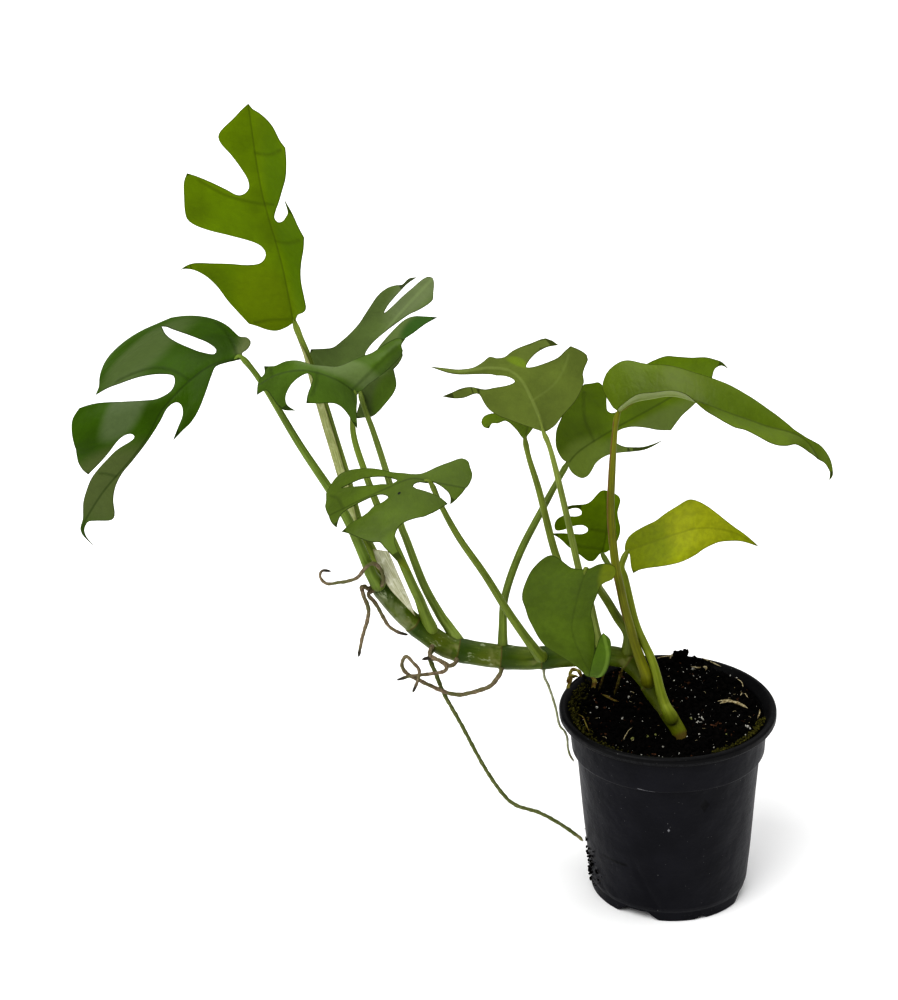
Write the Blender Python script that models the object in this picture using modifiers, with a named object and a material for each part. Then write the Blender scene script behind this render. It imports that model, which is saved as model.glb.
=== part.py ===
"""A potted mini monstera: a creeping vine in a round nursery pot, its stem lying out over the rim.

X runs to the right, Y away from the viewer and Z up; the origin is the middle of the pot's underside.
Lengths in the tables are in millimetres; every mesh is made in metres.
"""
import math
import random

import bmesh
import bpy
import numpy as np
from mathutils import Vector
from mathutils.bvhtree import BVHTree
from mathutils.geometry import delaunay_2d_cdt

for old in list(bpy.data.objects):
    bpy.data.objects.remove(old, do_unlink=True)

# Driving dimensions
MM = 0.001
POT_LIP_R = 52.5
POT_HEIGHT = 96.5
LIP_HEIGHT = 4.0
LIP_INNER_R = 49.8
WALL = 1.3
BAND_DROP = 21.0
UNDER_LIP_R = 48.0
BAND_R = 46.8
BAND_STEP = 2.2
FOOT_R = 37.9
FOOT_HEIGHT = 4.8
FOOT_WIDTH = 3.9
WALL_FOOT_R = 38.9
POT_LEAN = 2.9
BACK_LIFT = 2.4
RIGHT_LIFT = 1.6
NOTCH_TURNS = [math.radians(a) for a in (-117.5, -17.5, 62.5, 162.5)]
NOTCH_WIDTH = 22.5
NOTCH_HEIGHT = 4.2
NICK_TURNS = [math.radians(a) for a in (-68.5, 111.5)]
NICK_WIDTH = 6.5
NICK_HEIGHT = 1.9
DRAIN_TURN = math.radians(-5)
DRAINS = 6
BOSS_R = 12.0
FLOOR_TOP = 4.5
FLOOR_UNDER = 2.5
DRAIN_R = 4.0
DRAIN_RING_R = 21.0
TURN_STEPS = 60

SOIL_LEVEL = 89.5
SOIL_RISE = 6.0
SOIL_ROUGH = 1.1
SOIL_RINGS = 6
SOIL_SPOKES = 26

FIT_GAP = 0.3
BLADE_THICKNESS = 0.8
SHEATH_THICKNESS = 0.6
OUTLINE_STEP = 5.0
FILL_STEP = 7.0
EDGE_CLEAR = 0.42
TUBE_STEP = 6.0
STEM_STEP = 4.0
BACK_STEP = 0.2
BACK_REACH = 9.0
RING_TESTS = 12
WELD = 0.01
TIP = True

plant = bpy.data.collections.new("potted_mini_monstera")
cutters = bpy.data.collections.new("cutters")
bpy.context.scene.collection.children.link(plant)
bpy.context.scene.collection.children.link(cutters)
cutters.hide_render = True


# Materials
def material(name, colour, roughness):
    made = bpy.data.materials.new(name)
    made.use_nodes = True
    shader = made.node_tree.nodes["Principled BSDF"]
    shader.inputs["Base Color"].default_value = (*colour, 1.0)
    shader.inputs["Roughness"].default_value = roughness
    shader.inputs["Metallic"].default_value = 0.0
    made.diffuse_color = (*colour, 1.0)
    return made


POT_BLACK = material("pot_black", (0.012, 0.013, 0.018), 0.42)
SOIL_DARK = material("soil_dark", (0.020, 0.014, 0.010), 0.95)
STEM_GREEN = material("stem_green", (0.11, 0.19, 0.03), 0.35)
PETIOLE_GREEN = material("petiole_green", (0.16, 0.25, 0.04), 0.40)
LEAF_LIGHT = material("leaf_light", (0.09, 0.21, 0.004), 0.40)
LEAF_DARK = material("leaf_dark", (0.04, 0.11, 0.006), 0.35)
LEAF_UNDER = material("leaf_under", (0.11, 0.17, 0.035), 0.50)
LEAF_YELLOW = material("leaf_yellow", (0.33, 0.37, 0.02), 0.45)
ROOT_BROWN = material("root_brown", (0.15, 0.13, 0.07), 0.70)
PAPER_CREAM = material("paper_cream", (0.55, 0.52, 0.33), 0.70)


# Meshes and Booleans
def add_mesh(name, points, faces, look, group=plant):
    mesh = bpy.data.meshes.new(name)
    mesh.from_pydata([tuple(float(c) * MM for c in p) for p in points], [], faces)
    mesh.validate()
    mesh.update()
    mesh.materials.append(look)
    body = bpy.data.objects.new(name, mesh)
    group.objects.link(body)
    return body


def as_mesh(body):
    """A curve turned into a plain mesh, so that it can be joined or cut with."""
    group = body.users_collection[0]
    bpy.context.view_layer.update()
    ready = body.evaluated_get(bpy.context.evaluated_depsgraph_get())
    mesh = bpy.data.meshes.new_from_object(ready)
    work = bmesh.new()
    work.from_mesh(mesh)
    bmesh.ops.remove_doubles(work, verts=work.verts, dist=WELD * MM)
    work.to_mesh(mesh)
    work.free()
    name, place = body.name, body.matrix_world.copy()
    bpy.data.objects.remove(body, do_unlink=True)
    made = bpy.data.objects.new(name, mesh)
    made.matrix_world = place
    group.objects.link(made)
    return made


def cut(body, tools):
    for tool in tools:
        tool.display_type = "WIRE"
        tool.hide_render = True
        change = body.modifiers.new("cut_" + tool.name, "BOOLEAN")
        change.operation = "DIFFERENCE"
        change.solver = "EXACT"
        change.object = tool


# Smooth lines through points
def spline(points, at):
    """Catmull-Rom line through the points; at runs from 0 to 1 with the points at equal steps."""
    rows = np.asarray(points, float)
    spans = len(rows) - 1
    ends = np.concatenate([[2 * rows[0] - rows[1]], rows, [2 * rows[-1] - rows[-2]]])
    place = np.asarray(at, float) * spans
    i = np.clip(np.floor(place).astype(int), 0, spans - 1)
    f = (place - i)[:, None]
    a, b, c, d = ends[i], ends[i + 1], ends[i + 2], ends[i + 3]
    square = 2 * a - 5 * b + 4 * c - d
    cube = 3 * b - a - 3 * c + d
    return 0.5 * (2 * b + (c - a) * f + square * f**2 + cube * f**3)


def even_line(points, step):
    """The same line at even steps of about the given length."""
    fine = spline(points, np.linspace(0, 1, 60 * len(points)))
    run = np.concatenate([[0], np.cumsum(np.linalg.norm(np.diff(fine, axis=0), axis=1))])
    count = max(3, int(round(run[-1] / step)) + 1)
    at = np.linspace(0, run[-1], count)
    return np.stack([np.interp(at, run, fine[:, k]) for k in range(3)], 1), at / run[-1]


def closed_outline(outline, step):
    """A closed line through (u, v) points, smooth except at the tips."""
    rows = np.array([q[:2] for q in outline], float)
    sharp = [len(q) > 2 for q in outline]
    made = []
    for i in range(len(rows)):
        j = (i + 1) % len(rows)
        a, b, c, d = rows[i - 1], rows[i], rows[j], rows[(i + 2) % len(rows)]
        span = np.linalg.norm(c - b)
        leave = c - b if sharp[i] else (c - a) * span / (span + np.linalg.norm(b - a))
        arrive = c - b if sharp[j] else (d - b) * span / (span + np.linalg.norm(d - c))
        parts = max(1, int(round(span / step)))
        for k in range(parts):
            f = k / parts
            g = 1 - f
            made.append(b * g * g * (1 + 2 * f) + leave * f * g * g + c * f * f * (3 - 2 * f) - arrive * f * f * g)
    return np.array(made)


# Tubes: petioles, stem and roots
def tube(name, points, radii, look, step=TUBE_STEP, sides=2, group=plant):
    """A round tube along the points; radii are spread evenly from its start to its end."""
    line, along = even_line(points, step)
    size = np.interp(along, np.linspace(0, 1, len(radii)), radii)
    curve = bpy.data.curves.new(name, "CURVE")
    curve.dimensions = "3D"
    curve.bevel_mode = "ROUND"
    curve.bevel_depth = MM
    curve.bevel_resolution = sides
    curve.use_fill_caps = True
    thread = curve.splines.new("POLY")
    thread.points.add(len(line) - 1)
    for spot, place, radius in zip(thread.points, line, size):
        spot.co = (*(place * MM), 1.0)
        spot.radius = float(radius)
    curve.materials.append(look)
    body = bpy.data.objects.new(name, curve)
    group.objects.link(body)
    return body


# Leaf blades: a sheet round the midrib, with a rib running out on each side at every place along it
class Blade:
    BACK = 40.0
    AHEAD = 20.0
    STEP = 0.5
    SOFT = 0.10
    PARTS = 12

    def __init__(self, leaf):
        line = spline(leaf["midrib"], np.linspace(0, 1, 241))
        run = np.concatenate([[0], np.cumsum(np.linalg.norm(np.diff(line, axis=0), axis=1))])
        self.length = run[-1]
        self.u = np.arange(-self.BACK, self.length + self.AHEAD, self.STEP)
        inside = np.clip(self.u, 0, self.length)
        first = (line[6] - line[0]) / np.linalg.norm(line[6] - line[0])
        last = (line[-1] - line[-7]) / np.linalg.norm(line[-1] - line[-7])
        place = np.stack([np.interp(inside, run, line[:, k]) for k in range(3)], 1)
        place += np.minimum(self.u, 0)[:, None] * first
        place += np.maximum(self.u - self.length, 0)[:, None] * last
        self.place = place
        self.start = line[0]
        self.heading = first
        window = int(max(3, self.SOFT * self.length / self.STEP)) | 1
        weights = np.hanning(window + 2)[1:-1]
        weights /= weights.sum()
        self.ribs = {}
        for side in ("left", "right"):
            rows = leaf[side]
            at = np.array([row[0] for row in rows]) * self.length
            way = np.array([row[1] for row in rows], float)
            way /= np.linalg.norm(way, axis=1)[:, None]
            bend = np.array([row[2] if len(row) > 2 else (0, 0, 0) for row in rows], float)
            both = []
            for table in (way, bend):
                columns = [np.interp(self.u, at, table[:, k]) for k in range(3)]
                padded = [np.pad(c, window, mode="edge") for c in columns]
                both.append(np.stack([np.convolve(c, weights, "same")[window:-window] for c in padded], 1))
            self.ribs[side] = both

    def _along(self, table, u):
        return np.stack([np.interp(u, self.u, table[:, k]) for k in range(3)], 1)

    def at(self, uv):
        """World places of (u, v): u along the midrib, v out to the left (+) or right (-)."""
        uv = np.atleast_2d(np.asarray(uv, float))
        u, v = uv[:, 0], uv[:, 1]
        place = self._along(self.place, u)
        for side, here in (("left", v >= 0), ("right", v < 0)):
            way, bend = self.ribs[side]
            way, bend = self._along(way, u[here]), self._along(bend, u[here])
            out = np.abs(v[here])
            for part in range(self.PARTS):
                far = (part + 0.5) / self.PARTS * out
                heading = way + bend * (far / 10)[:, None]
                heading /= np.linalg.norm(heading, axis=1)[:, None]
                place[here] += heading * (out / self.PARTS)[:, None]
        return place

    def up(self, uv):
        """Unit normals of the upper face, averaged across the midrib."""
        uv = np.atleast_2d(np.asarray(uv, float))
        small = 0.6
        along = self.at(uv + (small, 0)) - self.at(uv - (small, 0))
        across = self.at(uv + (0, small)) - self.at(uv - (0, small))
        normal = np.cross(along, across)
        return normal / np.linalg.norm(normal, axis=1)[:, None]


def inside(points, loop):
    """Which points lie within a closed loop."""
    x, y = points[:, 0], points[:, 1]
    odd = np.zeros(len(points), bool)
    for (ax, ay), (bx, by) in zip(loop, np.roll(loop, -1, axis=0)):
        crosses = (ay > y) != (by > y)
        with np.errstate(divide="ignore", invalid="ignore"):
            odd ^= crosses & (x < (bx - ax) * (y - ay) / (by - ay) + ax)
    return odd


def from_loop(points, loop):
    """Distance of each point from the nearest side of a loop."""
    best = np.full(len(points), np.inf)
    for a, b in zip(loop, np.roll(loop, -1, axis=0)):
        side = b - a
        f = np.clip(((points - a) @ side) / max(side @ side, 1e-9), 0, 1)
        best = np.minimum(best, np.linalg.norm(points - a - f[:, None] * side, axis=1))
    return best


def sheet_triangles(loops, step):
    """Points and triangles that fill the first loop and leave the others open."""
    low, high = loops[0].min(0), loops[0].max(0)
    rows = np.arange(low[1] + step / 3, high[1], step * math.sqrt(3) / 2)
    fill = []
    for n, v in enumerate(rows):
        for u in np.arange(low[0] + step * (0.25 + 0.5 * (n % 2)), high[0], step):
            fill.append((u, v))
    spine = [(u, 0.0) for u in np.arange(low[0] + step / 4, high[0], step)]
    fill = np.array([p for p in fill if abs(p[1]) > step * EDGE_CLEAR] + spine)
    keep = inside(fill, loops[0])
    for loop in loops[1:]:
        keep &= ~inside(fill, loop)
    for loop in loops:
        keep &= from_loop(fill, loop) > step * EDGE_CLEAR
    points = [tuple(p) for loop in loops for p in loop]
    edges = []
    base = 0
    for loop in loops:
        edges += [(base + k, base + (k + 1) % len(loop)) for k in range(len(loop))]
        base += len(loop)
    points += [tuple(p) for p in fill[keep]]
    made, _, faces, _, _, _ = delaunay_2d_cdt([Vector(p) for p in points], edges, [], 0, 1e-5)
    made = np.array([tuple(p) for p in made])
    faces = np.array([f if _turn(made, f) > 0 else f[::-1] for f in faces])
    middle = made[faces].mean(1)
    keep = inside(middle, loops[0])
    for loop in loops[1:]:
        keep &= ~inside(middle, loop)
    return made, faces[keep]


def _turn(points, face):
    a, b, c = points[face[0]], points[face[1]], points[face[2]]
    return (b[0] - a[0]) * (c[1] - a[1]) - (b[1] - a[1]) * (c[0] - a[0])


def blade_body(name, leaf, look, thickness=BLADE_THICKNESS):
    """A leaf blade: both faces split alike and joined round every edge."""
    sheet = Blade(leaf)
    loops = [closed_outline(leaf["outline"], OUTLINE_STEP)]
    loops += [closed_outline(hole, OUTLINE_STEP) for hole in leaf.get("holes", [])]
    flat, faces = sheet_triangles(loops, leaf.get("fill", FILL_STEP))
    place = sheet.at(flat)
    half = sheet.up(flat) * thickness / 2
    count = len(flat)
    points = np.concatenate([place + half, place - half])
    skin = [tuple(f) for f in faces] + [tuple(f[::-1] + count) for f in faces]
    sides = {}
    for f in faces:
        for a, b in ((f[0], f[1]), (f[1], f[2]), (f[2], f[0])):
            sides[(a, b)] = True
    for a, b in sides:
        if (b, a) not in sides:
            skin += [(b, a, a + count), (b, a + count, b + count)]
    skin = [tuple(int(k) for k in f) for f in skin]
    return add_mesh(name, points, skin, look)


# Pot: one turned shell with a rolled lip, a band under it, a foot ring with notches and drain holes
def turned(name, profile, look):
    mesh = bpy.data.meshes.new(name)
    points = [(r * MM, 0.0, z * MM) for r, z in profile]
    mesh.from_pydata(points, [(k, k + 1) for k in range(len(points) - 1)], [])
    mesh.materials.append(look)
    body = bpy.data.objects.new(name, mesh)
    plant.objects.link(body)
    turn = body.modifiers.new("turn", "SCREW")
    turn.axis = "Z"
    turn.steps = TURN_STEPS
    turn.render_steps = TURN_STEPS
    turn.use_merge_vertices = True
    turn.merge_threshold = 0.00005
    turn.use_smooth_shade = False
    turn.use_normal_calculate = True
    return body


BAND_Z = POT_HEIGHT - BAND_DROP
LIP_UNDER = POT_HEIGHT - LIP_HEIGHT
POT_PROFILE = [
    (0.0, FLOOR_TOP), (WALL_FOOT_R - WALL - 0.8, FLOOR_TOP),
    (WALL_FOOT_R - WALL + 0.2, FLOOR_TOP + 1.5),
    (BAND_R - BAND_STEP - WALL, BAND_Z - 1.2),
    (BAND_R - WALL, BAND_Z + 1.5),
    (UNDER_LIP_R - WALL, LIP_UNDER + 0.5),
    (LIP_INNER_R - 0.3, POT_HEIGHT - 0.5),
    (LIP_INNER_R + 0.3, POT_HEIGHT),
    (POT_LIP_R - 0.9, POT_HEIGHT),
    (POT_LIP_R, POT_HEIGHT - 0.9),
    (POT_LIP_R, LIP_UNDER + 0.5),
    (POT_LIP_R - 0.5, LIP_UNDER),
    (UNDER_LIP_R, LIP_UNDER),
    (BAND_R, BAND_Z + 0.8),
    (BAND_R - 0.4, BAND_Z),
    (BAND_R - BAND_STEP, BAND_Z - 0.3),
    (WALL_FOOT_R, FOOT_HEIGHT + 2.6),
    (FOOT_R, FOOT_HEIGHT),
    (FOOT_R, 0.5),
    (FOOT_R - 0.5, 0.0),
    (FOOT_R - FOOT_WIDTH, 0.0),
    (FOOT_R - FOOT_WIDTH, FLOOR_UNDER),
    (BOSS_R + 0.5, FLOOR_UNDER),
    (BOSS_R, 0.0),
    (0.0, 0.0),
]
pot = turned("pot", POT_PROFILE, POT_BLACK)


def box(name, size, place, turn):
    x, y, z = (s / 2 for s in size)
    corners = [(i * x, j * y, k * z) for i in (-1, 1) for j in (-1, 1) for k in (-1, 1)]
    faces = [(0, 1, 3, 2), (4, 6, 7, 5), (0, 4, 5, 1), (2, 3, 7, 6), (0, 2, 6, 4), (1, 5, 7, 3)]
    body = add_mesh(name, corners, faces, POT_BLACK, cutters)
    body.location = [c * MM for c in place]
    body.rotation_euler[2] = turn
    return body


def drum(name, radius, low, high, place, sides=12):
    angles = [2 * math.pi * k / sides for k in range(sides)]
    ring = [(radius * math.cos(a), radius * math.sin(a)) for a in angles]
    points = [(x, y, low) for x, y in ring] + [(x, y, high) for x, y in ring]
    faces = [tuple(range(sides))[::-1], tuple(range(sides, 2 * sides))]
    faces += [(k, (k + 1) % sides, sides + (k + 1) % sides, sides + k) for k in range(sides)]
    body = add_mesh(name, points, faces, POT_BLACK, cutters)
    body.location = (place[0] * MM, place[1] * MM, 0.0)
    return body


pot_cuts = []
for turns, width, height in ((NOTCH_TURNS, NOTCH_WIDTH, NOTCH_HEIGHT), (NICK_TURNS, NICK_WIDTH, NICK_HEIGHT)):
    for angle in turns:
        middle = FOOT_R - FOOT_WIDTH
        place = (middle * math.cos(angle), middle * math.sin(angle), 0.0)
        pot_cuts.append(box("notch", (2.6 * FOOT_WIDTH, width, 2 * height), place, angle))
for k in range(DRAINS):
    angle = 2 * math.pi * k / DRAINS + DRAIN_TURN
    place = (DRAIN_RING_R * math.cos(angle), DRAIN_RING_R * math.sin(angle))
    pot_cuts.append(drum(f"drain_{k}", DRAIN_R, -1.0, FLOOR_TOP + 1.0, place))
cut(pot, pot_cuts)


def lean(body):
    """The thin pot is pushed out of true: foot a little to the right, rim up at its back and right."""
    for corner in body.data.vertices:
        x, y, z = corner.co / MM
        rise = (z / POT_HEIGHT) ** 2
        lift = BACK_LIFT * (1 + y / POT_LIP_R) / 2 + RIGHT_LIFT * (1 + x / POT_LIP_R) / 2
        corner.co.x += POT_LEAN * MM * (1 - z / POT_HEIGHT)
        corner.co.z += lift * rise * MM


pot = as_mesh(pot)
lean(pot)

# Stem: creeps out of the soil, over the rim to the left and up at its end; its rings are the leaf scars
STEM_LINE = [
    (8, -18, 84), (4.5, -15.8, 92.5), (-0.5, -12.3, 99.8), (-6.3, -8.4, 107), (-12.3, -4.2, 115.5),
    (-18.5, -1.6, 122.2), (-24.5, -0.4, 124.8), (-33, 0, 125.6), (-42, 0, 125.4), (-51, 0, 125), (-67, 0, 124),
    (-81, 0, 125), (-94, 0, 127), (-106, 0, 130), (-116, 0, 137), (-125, 0, 145), (-133, 0, 154),
    (-138.5, 0, 162), (-140.2, 0, 167),
]
STEM_RADII = [3.6, 3.5, 4.0, 4.8, 5.2, 5.6, 5.9, 5.6, 5.0, 4.5, 4.0]
stem = as_mesh(tube("stem", STEM_LINE, STEM_RADII, STEM_GREEN, STEM_STEP, 4))
bpy.context.view_layer.update()
stem_fine, _ = even_line(STEM_LINE, 0.5)


def ring(middle, along, radius):
    """Places round a tube's edge, in metres, with its middle."""
    heading = along / np.linalg.norm(along)
    side = np.cross(heading, (0.3, 0.9, 0.1))
    side /= np.linalg.norm(side)
    other = np.cross(heading, side)
    turns = [2 * math.pi * k / RING_TESTS for k in range(RING_TESTS)]
    edge = [middle + radius * (math.cos(a) * side + math.sin(a) * other) for a in turns]
    return [Vector(p * MM) for p in edge + [middle]]


def short_of(way, radius, body):
    """The route stopped just clear of the body that its end runs into."""
    tree = BVHTree.FromObject(body, bpy.context.evaluated_depsgraph_get())
    line, _ = even_line(way, BACK_STEP)
    kept = max(2, len(line) - 1 - int(BACK_REACH / BACK_STEP))
    for spot in range(kept, len(line)):
        tests = ring(line[spot], line[spot] - line[spot - 2], radius)
        if min(tree.find_nearest(p)[3] for p in tests) < FIT_GAP * MM:
            break
        kept = spot
    end = line[kept]
    close = [p for p in way[:-1] if np.linalg.norm(np.array(p) - end) > TUBE_STEP / 2]
    return close + [end]


def from_stem(way, radius):
    """The route with its start added: just off the stem's skin, and clear of it where the tube leans."""
    tree = BVHTree.FromObject(stem, bpy.context.evaluated_depsgraph_get())
    away = np.asarray(way[0], float) - stem_fine
    near = int(np.argmin(np.linalg.norm(away, axis=1)))
    far = np.linalg.norm(away[near])
    start = way[0]
    for out in np.arange(far - BACK_STEP, 0, -BACK_STEP):
        tried = stem_fine[near] + away[near] * out / far
        line = even_line([tried] + way, TUBE_STEP)[0]
        chord = line[1] - line[0]
        tests = ring(line[0], chord, radius) + ring(line[0] + chord / 2, chord, radius)
        if min(tree.find_nearest(p)[3] for p in tests) < FIT_GAP * MM:
            break
        start = tried
    return [start] + way


# Soil: fills the pot to a little under the lip, heaped to the back, with a plain hole for the stem
def soil_side(z):
    """Radius of the soil against the wall's inner face at a height."""
    heights = [FLOOR_TOP + 1.5, BAND_Z - 1.3, BAND_Z + 2.2, LIP_UNDER + 0.5]
    radii = [WALL_FOOT_R - WALL + 0.2, BAND_R - BAND_STEP - WALL, BAND_R - WALL, UNDER_LIP_R - WALL]
    return float(np.interp(z, heights, radii)) - FIT_GAP


def soil_body():
    draw = random.Random(7)
    points = []
    for ring in range(1, SOIL_RINGS + 1):
        for spoke in range(SOIL_SPOKES):
            angle = 2 * math.pi * (spoke + 0.5 * (ring % 2)) / SOIL_SPOKES
            share = ring / SOIL_RINGS
            outer = soil_side(SOIL_LEVEL)
            rise = SOIL_RISE * share * math.sin(angle) * (1 if math.sin(angle) > 0 else 0.3)
            rise += draw.uniform(-SOIL_ROUGH, SOIL_ROUGH)
            z = SOIL_LEVEL + rise + 1.5 * (1 - share)
            radius = soil_side(z) if ring == SOIL_RINGS else outer * share
            points.append((radius * math.cos(angle), radius * math.sin(angle), z))
    lower_rows = (BAND_Z + 2.2, BAND_Z - 1.3, FLOOR_TOP + 1.7, FLOOR_TOP + FIT_GAP)
    for low in lower_rows:
        radius = soil_side(low) - (1.2 if low < FLOOR_TOP + 1.0 else 0.0)
        for spoke in range(SOIL_SPOKES):
            angle = 2 * math.pi * (spoke + 0.5 * (SOIL_RINGS % 2)) / SOIL_SPOKES
            points.append((radius * math.cos(angle), radius * math.sin(angle), low))
    top = len(points)
    points += [(0.0, 0.0, SOIL_LEVEL + 1.5), (0.0, 0.0, FLOOR_TOP + FIT_GAP)]
    faces = []
    for k in range(SOIL_SPOKES):
        j = (k + 1) % SOIL_SPOKES
        faces.append((top, k, j))
        for ring in range(SOIL_RINGS - 1):
            a, b = ring * SOIL_SPOKES, (ring + 1) * SOIL_SPOKES
            if ring % 2 == 0:
                faces += [(a + k, b + k, b + j), (a + k, b + j, a + j)]
            else:
                faces += [(a + k, b + k, a + j), (a + j, b + k, b + j)]
        for ring in range(SOIL_RINGS - 1, SOIL_RINGS + len(lower_rows) - 1):
            a, b = ring * SOIL_SPOKES, (ring + 1) * SOIL_SPOKES
            faces += [(a + k, b + k, b + j), (a + k, b + j, a + j)]
        last = (SOIL_RINGS + len(lower_rows) - 1) * SOIL_SPOKES
        faces.append((last + k, top + 1, last + j))
    return add_mesh("soil", points, faces, SOIL_DARK)


soil = soil_body()
lean(soil)
STEM_PLAY = 0.6
hole_line = [2 * np.array(STEM_LINE[0]) - np.array(STEM_LINE[1])] + STEM_LINE[:4]
hole_line[0] = np.array(STEM_LINE[0]) + (hole_line[0] - np.array(STEM_LINE[0])) * 0.06
hole_radii = [STEM_RADII[0] + STEM_PLAY, STEM_RADII[1] + STEM_PLAY]
stem_hole = as_mesh(tube("stem_hole", hole_line, hole_radii, SOIL_DARK, STEM_STEP, 4, cutters))
cut(soil, [stem_hole])

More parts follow.
